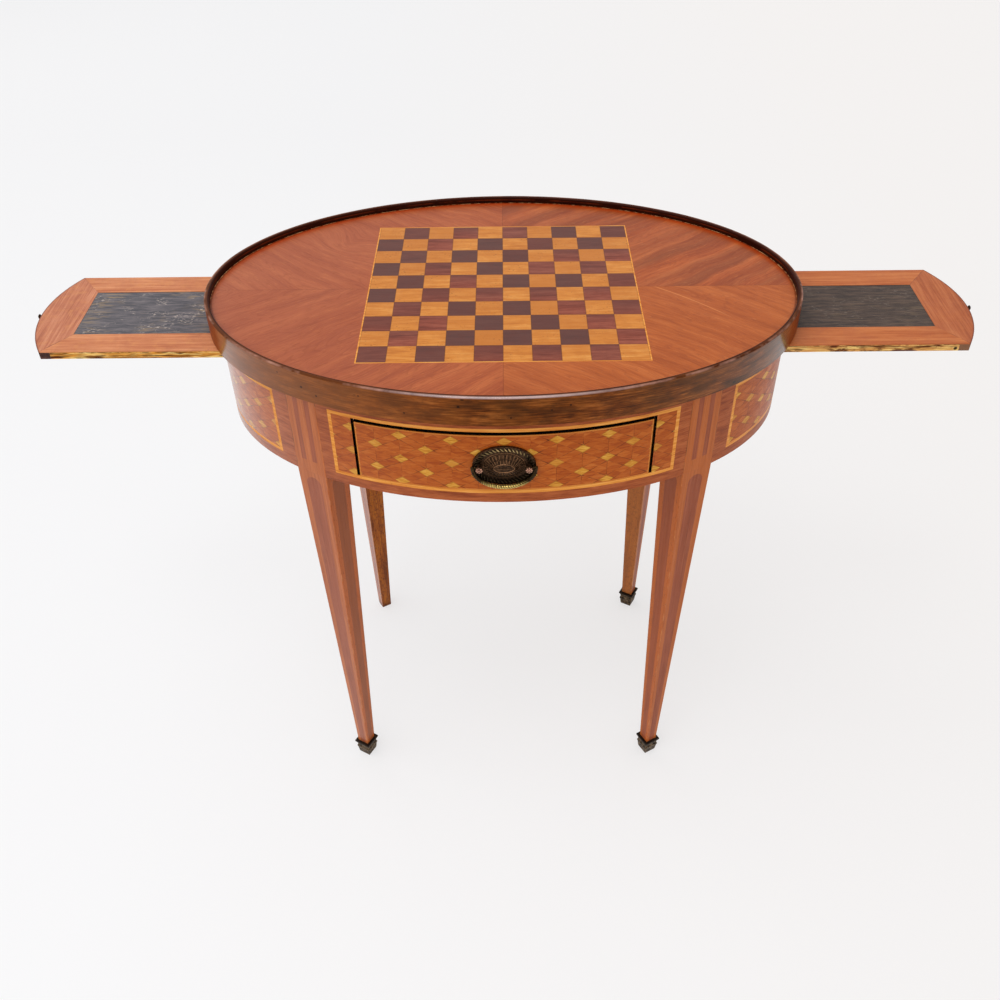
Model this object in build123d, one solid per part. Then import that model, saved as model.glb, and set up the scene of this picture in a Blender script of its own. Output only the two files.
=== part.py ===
from build123d import *
import math
import os

# An oval games table with a draughts board let into its top, a drawer in the front frieze
# and a slide that pulls out at each end. Lengths are in millimetres. The origin is on the
# floor under the middle of the top, +X is to the right, +Y to the back and +Z up.
# It is drawn with both slides pulled out, the drawer shut and its bail hanging.

os.makedirs("parts", exist_ok=True)

# The whole table
table_height = 741.0
top_half_length = 366.0
top_half_depth = 247.0
veneer = 1.0
glue_line = 0.3
overrun = 5.0

# The top and the bent band round it, which stands proud as a lip
lip_height = 8.0
band_height = 37.0
band_width = 6.0
band_rounding = 1.6

# The draughts board let into the veneer of the top
square_side = 33.0
squares_in_a_row = 10
board_line = 1.6

# The frieze: curved rails under the top, with veneer on a thicker core
frieze_height = 119.0
frieze_inset = 12.5
apron_depth = 18.0
panel_frame_height = 92.0
panel_frame_base = 13.5
panel_line = 4.5
front_banding = 15.5
side_banding = 22.0

# The trellis of lozenges in each panel
lozenge_length = 18.0
lozenge_height = 12.5
lozenge_pitch = 29.6
lozenge_rise = 16.4

# The four legs: a square block in the frieze and a tapered shaft below it
leg_angle = 41.0
leg_width = 42.5
foot_width = 16.3
tenon_length = 14.0
tenon_depth = 8.0
tenon_inset = 5.0
tenon_shoulder = 12.0
flute_width = 7.0
flute_spacing = 16.0
flute_margin = 9.0
flute_width_share = 0.52
flute_top_gap = 9.0

# The cast shoe on a foot: shares of its height and of its collar's width
sabot_height = 29.0
sabot_collar = 25.5
sabot_profile_shares = [
    (0.0, 0.7),
    (0.07, 0.74),
    (0.36, 0.8),
    (0.46, 0.87),
    (0.56, 0.87),
    (0.61, 0.8),
    (0.72, 0.815),
    (0.84, 0.9),
    (0.9, 1.0),
    (1.0, 1.0),
]

# The drawer opening and what runs in it
opening_banding = 22.8
opening_height = 83.0
drawer_end_gap = 3.6
drawer_top_gap = 4.7
drawer_lift = 0.3
drawer_front_depth = 21.0
drawer_side_width = 9.0
drawer_side_drop = 2.0
drawer_depth_share = 0.6
drawer_back_width = 8.0
drawer_back_drop = 6.0
drawer_bottom_rise = 6.0
drawer_bottom_thickness = 5.0
drawer_groove = 3.5
drawer_line = 1.4
dovetail_count = 3
dovetail_length = 11.0
dovetail_neck = 11.0
dovetail_end = 16.0
runner_width = 38.0
runner_depth = 14.0
guide_width = 15.0
guide_height = 18.0
guide_gap = 0.6
stop_length = 14.0

# The pull on the drawer: an oval backplate, two posts with rosette heads, and a bail
pull_rise = 37.7
plate_half_length = 36.0
plate_half_height = 27.0
plate_thickness = 1.5
plate_rim = 3.2
plate_rim_rise = 1.5
plate_boss_half_length = 22.0
plate_boss_half_height = 14.0
plate_boss_rise = 1.6
plate_boss_slope = 20.0
post_spacing = 56.0
post_radius = 3.4
post_head_radius = 4.5
post_head_height = 2.2
shank_radius = 2.0
nut_side = 8.0
nut_height = 3.5
bail_standoff = 6.0
bail_head_gap = 0.7
bail_half_length = 35.8
bail_drop = 28.0
bail_rod_radius = 2.2
bail_pin_radius = 1.2
bail_pin_length = 3.0
bail_pin_gap = 0.05

# The two slides, the rails that they run in and what stops them
slide_half_width = 90.0
slide_thickness = 10.0
slide_top_gap = 1.0
slide_bottom_gap = 0.4
slide_side_gap = 0.6
slide_set_back = 1.0
slide_drawn_share = 0.59
slide_spare = 20.0
lipping_width = 11.0
slide_veneer = 1.2
leather_half_width = 51.0
leather_thickness = 0.9
leather_end_margin = 29.7
leather_inner_margin = 30.0
slide_knob_radius = 3.3
slide_knob_neck_radius = 1.6
slide_knob_length = 6.2
slide_knob_neck_length = 3.4
slide_knob_tenon = 8.0
peg_radius = 4.0
peg_drop = 5.0
peg_gap = 0.5
bearer_width = 32.0
bearer_ledge = 12.0
bearer_drop = 11.0
centre_stop_width = 20.0
centre_stop_gap = 1.0

# Glue blocks and screws that hold the top to the frame
glue_block_length = 44.0
glue_block_depth = 20.0
glue_block_height = 16.0
glue_block_x_share = 0.32
screw_radius = 2.0
screw_head_radius = 4.0
screw_head_height = 2.5
screw_length = 30.0

# Heights and radii that follow
surface = table_height - lip_height
frame_top = table_height - band_height
frieze_bottom = frame_top - frieze_height
frieze_half_length = top_half_length - frieze_inset
frieze_half_depth = top_half_depth - frieze_inset
frame_line_bottom = frieze_bottom + panel_frame_base
frame_line_top = frame_line_bottom + panel_frame_height
opening_bottom = frame_line_bottom + panel_line + (panel_frame_height - panel_line * 2 - opening_height) / 2
opening_top = opening_bottom + opening_height
slide_drawn = top_half_length * slide_drawn_share
drawer_back_y = (frieze_half_depth - apron_depth) * drawer_depth_share
glue_block_x = frieze_half_length * glue_block_x_share
slide_top = frame_top - slide_top_gap
slide_bottom = slide_top - slide_thickness
slot_bottom = slide_bottom - slide_bottom_gap
drawer_bottom_edge = opening_bottom + drawer_lift
drawer_top_edge = opening_top - drawer_top_gap
lozenge_middle = (opening_bottom + opening_top) / 2 - lozenge_rise / 4


def oval(half_length, half_depth, bottom, top):
    """An upright cylinder on an ellipse."""
    return Pos(0, 0, bottom) * extrude(Ellipse(half_length, half_depth), amount=top - bottom)


def frieze_oval(inset, bottom, top):
    """The oval of the frieze, drawn in by inset."""
    return oval(frieze_half_length - inset, frieze_half_depth - inset, bottom, top)


def block(x_limits, y_limits, z_limits):
    """A box between three pairs of limits."""
    sizes = [limits[1] - limits[0] for limits in (x_limits, y_limits, z_limits)]
    middle = [(limits[1] + limits[0]) / 2 for limits in (x_limits, y_limits, z_limits)]
    return Pos(*middle) * Box(*sizes)


def both(half):
    """The pair of limits that lies evenly about zero."""
    return (-half, half)


def mirrored(limits):
    """The same limits on the other side of zero."""
    return (-limits[1], -limits[0])


def save(node, *shapes):
    """Writes one node, as a group of solids where it has more than one."""
    solids = [solid for shape in shapes for solid in shape.solids()]
    export_step(solids[0] if len(solids) == 1 else Compound(solids), f"parts/{node}.step")


def on_frieze(angle):
    """The point and the outward normal of the frieze at an angle from its front, towards +X."""
    turn = math.radians(angle)
    point = Vector(frieze_half_length * math.sin(turn), -frieze_half_depth * math.cos(turn), 0)
    normal = Vector(math.sin(turn) / frieze_half_length, -math.cos(turn) / frieze_half_depth, 0)
    return point, normal.normalized()


def step_along(angle, distance, steps=24):
    """The angle that lies a distance further round the frieze."""
    for _ in range(steps):
        turn = math.radians(angle)
        speed = math.hypot(frieze_half_length * math.cos(turn), frieze_half_depth * math.sin(turn))
        angle += math.degrees(distance / steps / speed)
    return angle


front_frame_angle = step_along(leg_angle, -leg_width / 2 - front_banding)
side_frame_angle = step_along(leg_angle, leg_width / 2 + side_banding)
front_frame_half_width = frieze_half_length * math.sin(math.radians(front_frame_angle))
opening_half_width = front_frame_half_width - panel_line - opening_banding
drawer_half_width = opening_half_width - drawer_end_gap


def sector(first_angle, last_angle, bottom, top):
    """A block that holds the stretch of frieze between two angles, with ends square to its face."""
    first, first_normal = on_frieze(first_angle)
    last, last_normal = on_frieze(last_angle)
    middle, middle_normal = on_frieze((first_angle + last_angle) / 2)
    reach = frieze_half_depth / 2
    inner = apron_depth / 2
    corners = [
        first - first_normal * inner,
        first + first_normal * reach,
        middle + middle_normal * reach,
        last + last_normal * reach,
        last - last_normal * inner,
    ]
    outline = Polygon(*[(corner.X, corner.Y) for corner in corners], align=None)
    return Pos(0, 0, bottom) * extrude(outline, amount=top - bottom)


# The legs stand square to the frieze, so each is drawn in its own place and then turned.
leg_ends = {
    "front_left": -leg_angle,
    "front_right": leg_angle,
    "back_right": 180 - leg_angle,
    "back_left": leg_angle - 180,
}


def leg_place(angle):
    """Where a leg is drawn: its outward face on the frieze, with its local +X outwards."""
    point, normal = on_frieze(angle)
    return Pos(point.X, point.Y, 0) * Rot(0, 0, math.degrees(math.atan2(normal.Y, normal.X)))


def leg_sagitta():
    """How far the frieze falls away behind the flat face of a leg at its corners."""
    turn = math.radians(leg_angle)
    speed = math.hypot(frieze_half_length * math.cos(turn), frieze_half_depth * math.sin(turn))
    radius = speed**3 / (frieze_half_length * frieze_half_depth)
    return leg_width**2 / (8 * radius)


def leg_shaft(inset):
    """The tapered shaft, drawn in by inset on every side."""
    set_back = leg_sagitta()
    top_depth = leg_width - set_back - inset * 2
    top_middle = -(leg_width + set_back) / 2
    top_section = Pos(top_middle, 0, frieze_bottom) * Rectangle(top_depth, leg_width - inset * 2)
    foot = foot_width - inset * 2
    foot_section = Pos(-leg_width / 2, 0, 0) * Rectangle(foot, foot)
    return loft([foot_section, top_section], ruled=True)


def block_flutes():
    """The two upright strips let into the block of a leg."""
    bottom = frieze_bottom + flute_margin * 2
    top = frame_top - flute_margin
    depths = (-veneer - leg_sagitta(), overrun)
    middles = [-flute_spacing / 2, flute_spacing / 2]
    limits = [(middle - flute_width / 2, middle + flute_width / 2) for middle in middles]
    return [block(depths, width, (bottom, top)) for width in limits]


def shaft_flute():
    """The long tapered strip with a round head that is let into three faces of a shaft."""
    head = leg_width * flute_width_share / 2
    tail = foot_width * flute_width_share / 2
    shoulder = frieze_bottom - flute_top_gap - head
    outline = Polygon((-tail, sabot_height), (tail, sabot_height), (head, shoulder), (-head, shoulder), align=None)
    outline += Pos(0, shoulder) * Circle(head)
    return extrude(Plane.YZ * outline, amount=leg_width / 2 + overrun)


def leg_parts(angle):
    """One leg with its pockets and mortises, and the strips that fill the pockets."""
    place = leg_place(angle)
    half = both(leg_width / 2)
    head = place * block((-leg_width, overrun), half, (frieze_bottom, frame_top))
    head = head & frieze_oval(0, frieze_bottom, frame_top)
    shaft = place * leg_shaft(0)
    skin = shaft - place * leg_shaft(veneer)
    axis = Pos(-leg_width / 2, 0, 0)
    strips = [head & (place * flute) for flute in block_flutes()]
    for turn in (-90, 0, 90):
        strips.append(skin & (place * axis * Rot(0, 0, turn) * shaft_flute()))
    leg = (head + shaft).clean()
    for strip in strips:
        leg = leg - strip
    for tenon in leg_tenons(angle):
        leg = leg - tenon
    return leg, strips


def tenon(angle, side, bottom, top, root):
    """A tenon into one side of a leg, with a root that reaches back into its rail."""
    depths = (-tenon_inset - tenon_depth, -tenon_inset)
    widths = (leg_width / 2 - tenon_length, leg_width / 2 + root)
    if side < 0:
        widths = mirrored(widths)
    return leg_place(angle) * block(depths, widths, (bottom, top))


tenon_bottom = frieze_bottom + tenon_shoulder
tenon_top = frame_top - tenon_shoulder - bearer_drop
lower_rail_top = opening_bottom
upper_rail_bottom = opening_top


def leg_tenons(angle):
    """The tenons that enter one leg: at the front from two thin rails, elsewhere from an apron."""
    front = abs(angle) < 90
    front_side = -math.copysign(1, angle)
    tenons = [tenon(angle, front_side if not front else -front_side, tenon_bottom, tenon_top, 0)]
    if front:
        low = (frieze_bottom + tenon_inset, lower_rail_top - tenon_inset)
        tenons.append(tenon(angle, front_side, *low, 0))
    else:
        tenons.append(tenon(angle, -front_side, tenon_bottom, tenon_top, 0))
    return tenons


legs = {}
leg_inlays = []
for name, angle in leg_ends.items():
    legs[name], strips = leg_parts(angle)
    leg_inlays.extend(strips)
    save(f"leg_{name}", legs[name])
save("leg_flutes", *leg_inlays)


def sabot(angle):
    """The cast shoe, a stack of square frustums round the tip of the leg."""
    sections = []
    for height_share, width_share in sabot_profile_shares:
        width = sabot_collar * width_share
        sections.append(Pos(-leg_width / 2, 0, sabot_height * height_share) * Rectangle(width, width))
    return leg_place(angle) * (loft(sections, ruled=True) - leg_shaft(0))


for name in ("front_left", "front_right", "back_right"):
    save(f"sabot_{name}", sabot(leg_ends[name]))


# The frieze. A ring is cut by the legs into four lengths: front, right, back and left.
def cut_by_legs(ring):
    """The four lengths of a ring between the legs, by side."""
    for angle in leg_ends.values():
        ring = ring - leg_place(angle) * block(
            (-leg_width, overrun), both(leg_width / 2), (frieze_bottom - overrun, frame_top + overrun)
        )
    across = ring.solids().sort_by(Axis.X)
    along = ring.solids().sort_by(Axis.Y)
    return {"left": across[0], "right": across[-1], "front": along[0], "back": along[-1]}


core_inset = veneer + glue_line
core_ring = frieze_oval(core_inset, frieze_bottom, frame_top) - frieze_oval(apron_depth, frieze_bottom, frame_top)
core = cut_by_legs(core_ring)
skin_ring = frieze_oval(0, frieze_bottom, frame_top) - frieze_oval(veneer, frieze_bottom, frame_top)
skin = cut_by_legs(skin_ring)

slot_half_width = slide_half_width + slide_side_gap
slide_slot = block(both(top_half_length), both(slot_half_width), (slot_bottom, frame_top + overrun))
opening = block(both(opening_half_width), (-top_half_depth, -frieze_half_depth / 2), (opening_bottom, opening_top))

for side, turns in (("left", (-1, 1)), ("right", (1, -1))):
    first = leg_ends[f"front_{side}"]
    last = leg_ends[f"back_{side}"]
    apron = core[side] - slide_slot
    apron += tenon(first, turns[0], tenon_bottom, tenon_top, tenon_shoulder / 2)
    apron += tenon(last, turns[1], tenon_bottom, tenon_top, tenon_shoulder / 2)
    save(f"apron_{side}", apron)

back_apron = core["back"]
back_apron += tenon(leg_ends["back_right"], 1, tenon_bottom, tenon_top, tenon_shoulder / 2)
back_apron += tenon(leg_ends["back_left"], -1, tenon_bottom, tenon_top, tenon_shoulder / 2)
save("apron_back", back_apron)

low_tenon = (frieze_bottom + tenon_inset, lower_rail_top - tenon_inset)
lower_rail = core["front"] & block(both(top_half_length), both(top_half_depth), (frieze_bottom, lower_rail_top))
lower_rail += tenon(leg_ends["front_left"], 1, *low_tenon, tenon_shoulder / 2)
lower_rail += tenon(leg_ends["front_right"], -1, *low_tenon, tenon_shoulder / 2)
save("front_lower_rail", lower_rail)
save(
    "front_upper_rail",
    core["front"] & block(both(top_half_length), both(top_half_depth), (upper_rail_bottom, frame_top)),
)
for name, limits in (("left", (-top_half_length, -opening_half_width)), ("right", (opening_half_width, top_half_length))):
    stile = core["front"] & block(limits, both(top_half_depth), (opening_bottom, opening_top))
    save(f"front_stile_{name}", stile)


# Marquetry. Each panel's skin is cut into crossbanding, a frame line, ground and lozenges.
def lozenge_prisms(middle_angle, columns):
    """Prisms of the trellis: columns with three lozenges stand between columns with two."""
    prisms = []
    for column in range(-columns, columns + 1):
        angle = step_along(middle_angle, column * lozenge_pitch)
        point, normal = on_frieze(angle)
        face = Plane(origin=point, x_dir=Vector(0, 0, 1).cross(normal), z_dir=normal)
        rows = (-2, 0, 2) if column % 2 == 0 else (-1, 1)
        for row in rows:
            height = lozenge_middle + row * lozenge_rise
            outline = Polygon(
                (-lozenge_length / 2, height),
                (0, height - lozenge_height / 2),
                (lozenge_length / 2, height),
                (0, height + lozenge_height / 2),
                align=None,
            )
            prisms.append(extrude(face * outline, amount=veneer * 2, both=True))
    return prisms


def joined(shapes):
    """One shape of many separate solids."""
    return Compound([solid for shape in shapes for solid in shape.solids()])


def columns_to(middle_angle, last_angle):
    """How many columns of lozenges start between the middle of a panel and its end."""
    columns = 0
    while step_along(middle_angle, (columns + 1 / 2) * lozenge_pitch) < last_angle:
        columns += 1
    return columns


def inlaid_panel(panel_skin, first_angle, last_angle):
    """The pieces of one panel: crossbanding, frame line, ground and lozenges."""
    middle_angle = (first_angle + last_angle) / 2
    inner_first = step_along(first_angle, panel_line)
    inner_last = step_along(last_angle, -panel_line)
    outer = sector(first_angle, last_angle, frame_line_bottom, frame_line_top)
    inner = sector(inner_first, inner_last, frame_line_bottom + panel_line, frame_line_top - panel_line)
    banding = panel_skin - outer
    line = (panel_skin & outer) - inner
    field = panel_skin & inner
    prisms = joined(lozenge_prisms(middle_angle, columns_to(middle_angle, last_angle)))
    return banding, line, field - prisms, field & prisms


panels = {
    "front": (skin["front"] - opening, -front_frame_angle, front_frame_angle),
    "right": (skin["right"] - slide_slot, side_frame_angle, 180 - side_frame_angle),
    "back": (skin["back"], 180 - front_frame_angle, 180 + front_frame_angle),
    "left": (skin["left"] - slide_slot, side_frame_angle - 180, -side_frame_angle),
}
pieces = [inlaid_panel(*panel) for panel in panels.values()]
for number, node in enumerate(("frieze_crossbanding", "frieze_lines", "frieze_ground", "frieze_lozenges")):
    save(node, *[panel[number] for panel in pieces])


# The top: a core, quartered veneer with the board let in, and the band round the edge.
top_half_lengths = (top_half_length - band_width, top_half_depth - band_width)
band = oval(top_half_length, top_half_depth, frame_top, table_height) - oval(
    *top_half_lengths, frame_top, table_height
)
band_edges = band.edges().group_by(Axis.Z)[-1]
save("gallery_band", fillet(band_edges, band_rounding))

skin_limits = (surface - veneer, surface)
squares_half = square_side * squares_in_a_row / 2
board_half = squares_half + board_line
board_space = block(both(board_half), both(board_half), skin_limits)
top_skin = oval(*top_half_lengths, *skin_limits) - board_space
quarters = []
for x_limits in ((-top_half_length, 0), (0, top_half_length)):
    for y_limits in ((-top_half_depth, 0), (0, top_half_depth)):
        quarters.append(top_skin & block(x_limits, y_limits, skin_limits))
save("top_veneer", *quarters)
save("board_line", board_space - block(both(squares_half), both(squares_half), skin_limits))

squares = {"light": [], "dark": []}
for column in range(squares_in_a_row):
    for row in range(squares_in_a_row):
        corner_x = column * square_side - squares_half
        corner_y = row * square_side - squares_half
        wood = "dark" if (column + row) % 2 == 0 else "light"
        square = block((corner_x, corner_x + square_side), (corner_y, corner_y + square_side), skin_limits)
        squares[wood].append(square)
for wood, pieces_of_wood in squares.items():
    save(f"board_squares_{wood}", *pieces_of_wood)


# Inside the frame: what the slides run in, what the drawer runs on, and the blocks.
inside = frieze_oval(apron_depth, frieze_bottom, frame_top)
bearer_bottom = slot_bottom - bearer_drop
for name, turn in (("front", -1), ("back", 1)):
    outer_edge = slot_half_width + bearer_width - bearer_ledge
    whole = (slot_half_width - bearer_ledge, outer_edge)
    room = (0, slot_half_width)
    if turn < 0:
        whole = mirrored(whole)
        room = mirrored(room)
    bearer = block(both(top_half_length), whole, (bearer_bottom, frame_top))
    bearer = bearer - block(both(top_half_length), room, (slot_bottom, frame_top + overrun))
    save(f"slide_bearer_{name}", bearer & inside)
stop_limits = (both(centre_stop_width / 2), both(slot_half_width), (slot_bottom, frame_top))
save("slide_centre_stop", block(*stop_limits))

runner_outer = drawer_half_width - drawer_side_width * 2 + runner_width
guide_inner = drawer_half_width + guide_gap
runner_limits = (runner_outer - runner_width, runner_outer)
guide_limits = (guide_inner, guide_inner + guide_width)
runner_heights = (opening_bottom - runner_depth, opening_bottom)
guide_heights = (opening_bottom, opening_bottom + guide_height)
stop_back = drawer_back_y + drawer_lift
drawer_stops = []
for name, turn in (("left", -1), ("right", 1)):
    across_runner = runner_limits if turn > 0 else mirrored(runner_limits)
    across_guide = guide_limits if turn > 0 else mirrored(guide_limits)
    across_stop = (runner_limits[0], guide_inner)
    if turn < 0:
        across_stop = mirrored(across_stop)
    runner = block(across_runner, both(top_half_depth), runner_heights) & inside
    save(f"drawer_runner_{name}", runner)
    guide = block(across_guide, both(top_half_depth), guide_heights) & inside
    for leg_name in (f"front_{name}", f"back_{name}"):
        guide = guide - leg_place(leg_ends[leg_name]) * block(
            (-leg_width, overrun), both(leg_width / 2), (frieze_bottom, frame_top)
        )
    guide = guide.solids().sort_by(SortBy.VOLUME)[-1]
    save(f"drawer_guide_{name}", guide)
    drawer_stops.append(block(across_stop, (stop_back, stop_back + stop_length), guide_heights))
save("drawer_stops", *drawer_stops)

glue_blocks = []
screws = []
for x_turn in (-1, 1):
    for y_turn in (-1, 1):
        middle = glue_block_x * x_turn
        across = (middle - glue_block_length / 2, middle + glue_block_length / 2)
        edge_share = math.sqrt(1 - (glue_block_x / (frieze_half_length - apron_depth)) ** 2)
        outer_y = (frieze_half_depth - apron_depth) * edge_share
        depth = (outer_y - glue_block_depth, outer_y + glue_block_depth)
        if y_turn < 0:
            depth = mirrored(depth)
        glue_block = block(across, depth, (frame_top - glue_block_height, frame_top)) & inside
        head_bottom = frame_top - glue_block_height
        screw_y = (outer_y - glue_block_depth / 2) * y_turn
        head = Cone(screw_head_radius, screw_radius, screw_head_height, align=(Align.CENTER, Align.CENTER, Align.MIN))
        shank = Cylinder(screw_radius, screw_length, align=(Align.CENTER, Align.CENTER, Align.MIN))
        screw = Pos(middle, screw_y, head_bottom) * (head + shank)
        glue_blocks.append(glue_block - screw)
        screws.append(screw)
save("glue_blocks", *glue_blocks)
save("top_screws", *screws)
top_core = oval(*top_half_lengths, frame_top, surface - veneer)
for screw in screws:
    top_core = top_core - screw
save("top_core", top_core)


# The drawer: a bowed front, sides dovetailed into it, a back and a bottom in grooves.
front_heights = (drawer_bottom_edge, drawer_top_edge)
front_limits = (both(drawer_half_width), (-top_half_depth, -frieze_half_depth / 2), front_heights)
front_inner = core_inset + drawer_front_depth
drawer_front = (frieze_oval(core_inset, *front_heights) - frieze_oval(front_inner, *front_heights)) & block(*front_limits)
side_heights = (drawer_bottom_edge, drawer_top_edge - drawer_side_drop)
side_outer = drawer_half_width
side_inner = side_outer - drawer_side_width
behind_front = frieze_oval(front_inner, *front_heights)
shoulder_share = math.sqrt(1 - (side_outer / (frieze_half_length - front_inner)) ** 2)
shoulder_y = -(frieze_half_depth - front_inner) * shoulder_share
bottom_heights = (drawer_bottom_edge + drawer_bottom_rise, drawer_bottom_edge + drawer_bottom_rise + drawer_bottom_thickness)
bottom_half_width = side_inner + drawer_groove
bottom_limits = (both(bottom_half_width), (-top_half_depth, drawer_back_y), bottom_heights)
drawer_bottom = block(*bottom_limits) & frieze_oval(front_inner - drawer_groove, *bottom_heights)
back_limits = (drawer_back_y - drawer_back_width, drawer_back_y)
back_heights = (bottom_heights[1], side_heights[1] - drawer_back_drop)
drawer_back = block(both(bottom_half_width), back_limits, back_heights)


def dovetail(across, middle):
    """One tail on the front end of a drawer side, wider at its end than at its neck."""
    root_y = shoulder_y + dovetail_length / 2
    end_y = shoulder_y - dovetail_length
    outline = Polygon(
        (root_y, middle + dovetail_neck / 2),
        (shoulder_y, middle + dovetail_neck / 2),
        (end_y, middle + dovetail_end / 2),
        (end_y, middle - dovetail_end / 2),
        (shoulder_y, middle - dovetail_neck / 2),
        (root_y, middle - dovetail_neck / 2),
        align=None,
    )
    return Pos(across[0], 0, 0) * extrude(Plane.YZ * outline, amount=across[1] - across[0])


tail_pitch = (side_heights[1] - side_heights[0]) / dovetail_count
for name, across in (("left", (-side_outer, -side_inner)), ("right", (side_inner, side_outer))):
    side = block(across, (-top_half_depth, drawer_back_y), side_heights) & behind_front
    side = side - block(both(top_half_length), (-top_half_depth, shoulder_y), side_heights)
    tails = [dovetail(across, side_heights[0] + tail_pitch * (number + 1 / 2)) for number in range(dovetail_count)]
    for tail in tails:
        side += tail
        drawer_front = drawer_front - tail
    save(f"drawer_side_{name}", side - drawer_bottom - drawer_back)
drawer_front = drawer_front - drawer_bottom
save("drawer_bottom", drawer_bottom)
save("drawer_back", drawer_back)

drawer_skin = (frieze_oval(0, *front_heights) - frieze_oval(veneer, *front_heights)) & block(*front_limits)
line_heights = (drawer_bottom_edge + drawer_line, drawer_top_edge - drawer_line)
inside_line = block(both(drawer_half_width - drawer_line), (-top_half_depth, 0), line_heights)
drawer_field = drawer_skin & inside_line
drawer_prisms = joined(lozenge_prisms(0, columns_to(0, front_frame_angle)))

# The pull is drawn on a plane that touches the middle of the drawer, with +Z outwards.
pull_place = Plane(
    origin=(0, -frieze_half_depth, drawer_bottom_edge + pull_rise), x_dir=(1, 0, 0), z_dir=(0, -1, 0)
).location
front_of_plate = plate_thickness
head_base = bail_standoff + bail_rod_radius + bail_head_gap
post_base = plate_thickness - veneer / 2
nut_edge_x = (post_spacing + nut_side) / 2
inner_face_share = math.sqrt(1 - (nut_edge_x / (frieze_half_length - front_inner)) ** 2)
shank_length = frieze_half_depth - (frieze_half_depth - front_inner) * inner_face_share

plate_blank = extrude(Ellipse(plate_half_length, plate_half_height), amount=plate_thickness)
plate_blank += Pos(0, 0, -overrun) * extrude(Ellipse(plate_half_length, plate_half_height), amount=overrun)
rim = extrude(Ellipse(plate_half_length, plate_half_height), amount=plate_rim_rise)
rim = rim - extrude(Ellipse(plate_half_length - plate_rim, plate_half_height - plate_rim), amount=plate_rim_rise)
boss = extrude(Ellipse(plate_boss_half_length, plate_boss_half_height), amount=plate_boss_rise, taper=plate_boss_slope)
plate = plate_blank + Pos(0, 0, plate_thickness) * rim + Pos(0, 0, plate_thickness) * boss
plate = (pull_place * plate) - frieze_oval(0, *front_heights)


def lying_cylinder(radius, bottom, top):
    """A cylinder along the local +Z between two heights."""
    return Pos(0, 0, bottom) * Cylinder(radius, top - bottom, align=(Align.CENTER, Align.CENTER, Align.MIN))


posts = []
nuts = []
for turn in (-1, 1):
    centre = Pos(post_spacing / 2 * turn, 0, 0)
    shank = lying_cylinder(shank_radius, -shank_length - nut_height, plate_thickness)
    barrel = lying_cylinder(post_radius, plate_thickness, head_base + post_head_height / 2)
    rosette = lying_cylinder(post_head_radius, head_base, head_base + post_head_height)
    rosette = fillet(rosette.edges().sort_by(Axis.Z)[-1:], post_head_height / 3)
    eye = Cylinder(bail_pin_radius + bail_pin_gap, post_radius * 2, rotation=(0, 90, 0))
    eye = Pos(post_radius * turn, 0, bail_standoff) * eye
    post = centre * ((shank + barrel + rosette) - eye)
    nut = Pos(0, 0, -shank_length - nut_height / 2) * Box(nut_side, nut_side, nut_height)
    nut = centre * (nut - shank)
    posts.append(pull_place * post)
    nuts.append(pull_place * nut)
    bore = pull_place * centre * lying_cylinder(shank_radius, -shank_length - overrun, plate_thickness + overrun)
    drawer_front = drawer_front - bore
    drawer_field = drawer_field - bore
    drawer_prisms = drawer_prisms - bore
    plate = plate - bore
save("drawer_front", drawer_front)
save("drawer_edge_line", drawer_skin - inside_line)
save("drawer_ground", drawer_field - drawer_prisms)
save("drawer_lozenges", drawer_field & drawer_prisms)
save("pull_backplate", plate)
save("pull_posts", *posts)
save("pull_nuts", *nuts)


def bail():
    """A bow of round rod that hangs below two short pins in the posts."""
    path = EllipticalCenterArc((0, 0), bail_half_length, bail_drop, start_angle=180, arc_size=180)
    start = Plane(origin=path @ 0, z_dir=path % 0)
    bow = sweep(start * Circle(bail_rod_radius), path=path)
    for turn in (-1, 1):
        end = Pos(bail_half_length * turn, 0, 0)
        bow += end * Sphere(bail_rod_radius)
        inner = post_spacing / 2 + post_radius - bail_pin_length
        pin_length = bail_half_length - inner
        pin = Cylinder(bail_pin_radius, pin_length, rotation=(0, 90, 0))
        bow += Pos((bail_half_length - pin_length / 2) * turn, 0, 0) * pin
    return pull_place * Pos(0, 0, bail_standoff) * bow


save("pull_bail", bail())


# The slides. Each is drawn shut, with its end on the line of the band, and then drawn out.
slide_end = (top_half_length - slide_set_back, top_half_depth - slide_set_back)
core_end = (slide_end[0] - lipping_width, slide_end[1] - lipping_width)
slide_inner = centre_stop_width / 2 + centre_stop_gap
core_heights = (slide_bottom, slide_top - slide_veneer)
veneer_heights = (slide_top - slide_veneer, slide_top)
leather_heights = (veneer_heights[0], veneer_heights[0] + leather_thickness)
corner_share = math.sqrt(1 - (slide_half_width / slide_end[1]) ** 2)
corner_x = slide_end[0] * corner_share
leather_start = slide_inner + leather_inner_margin
leather_end = corner_x - leather_end_margin
peg_x = frieze_half_length - apron_depth - peg_radius - peg_gap - slide_spare - slide_drawn


def slide_outline(bottom, top, end):
    """The plan of the slide between two heights, as far as an oval end."""
    return block((slide_inner, top_half_length), both(slide_half_width), (bottom, top)) & oval(*end, bottom, top)


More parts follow.
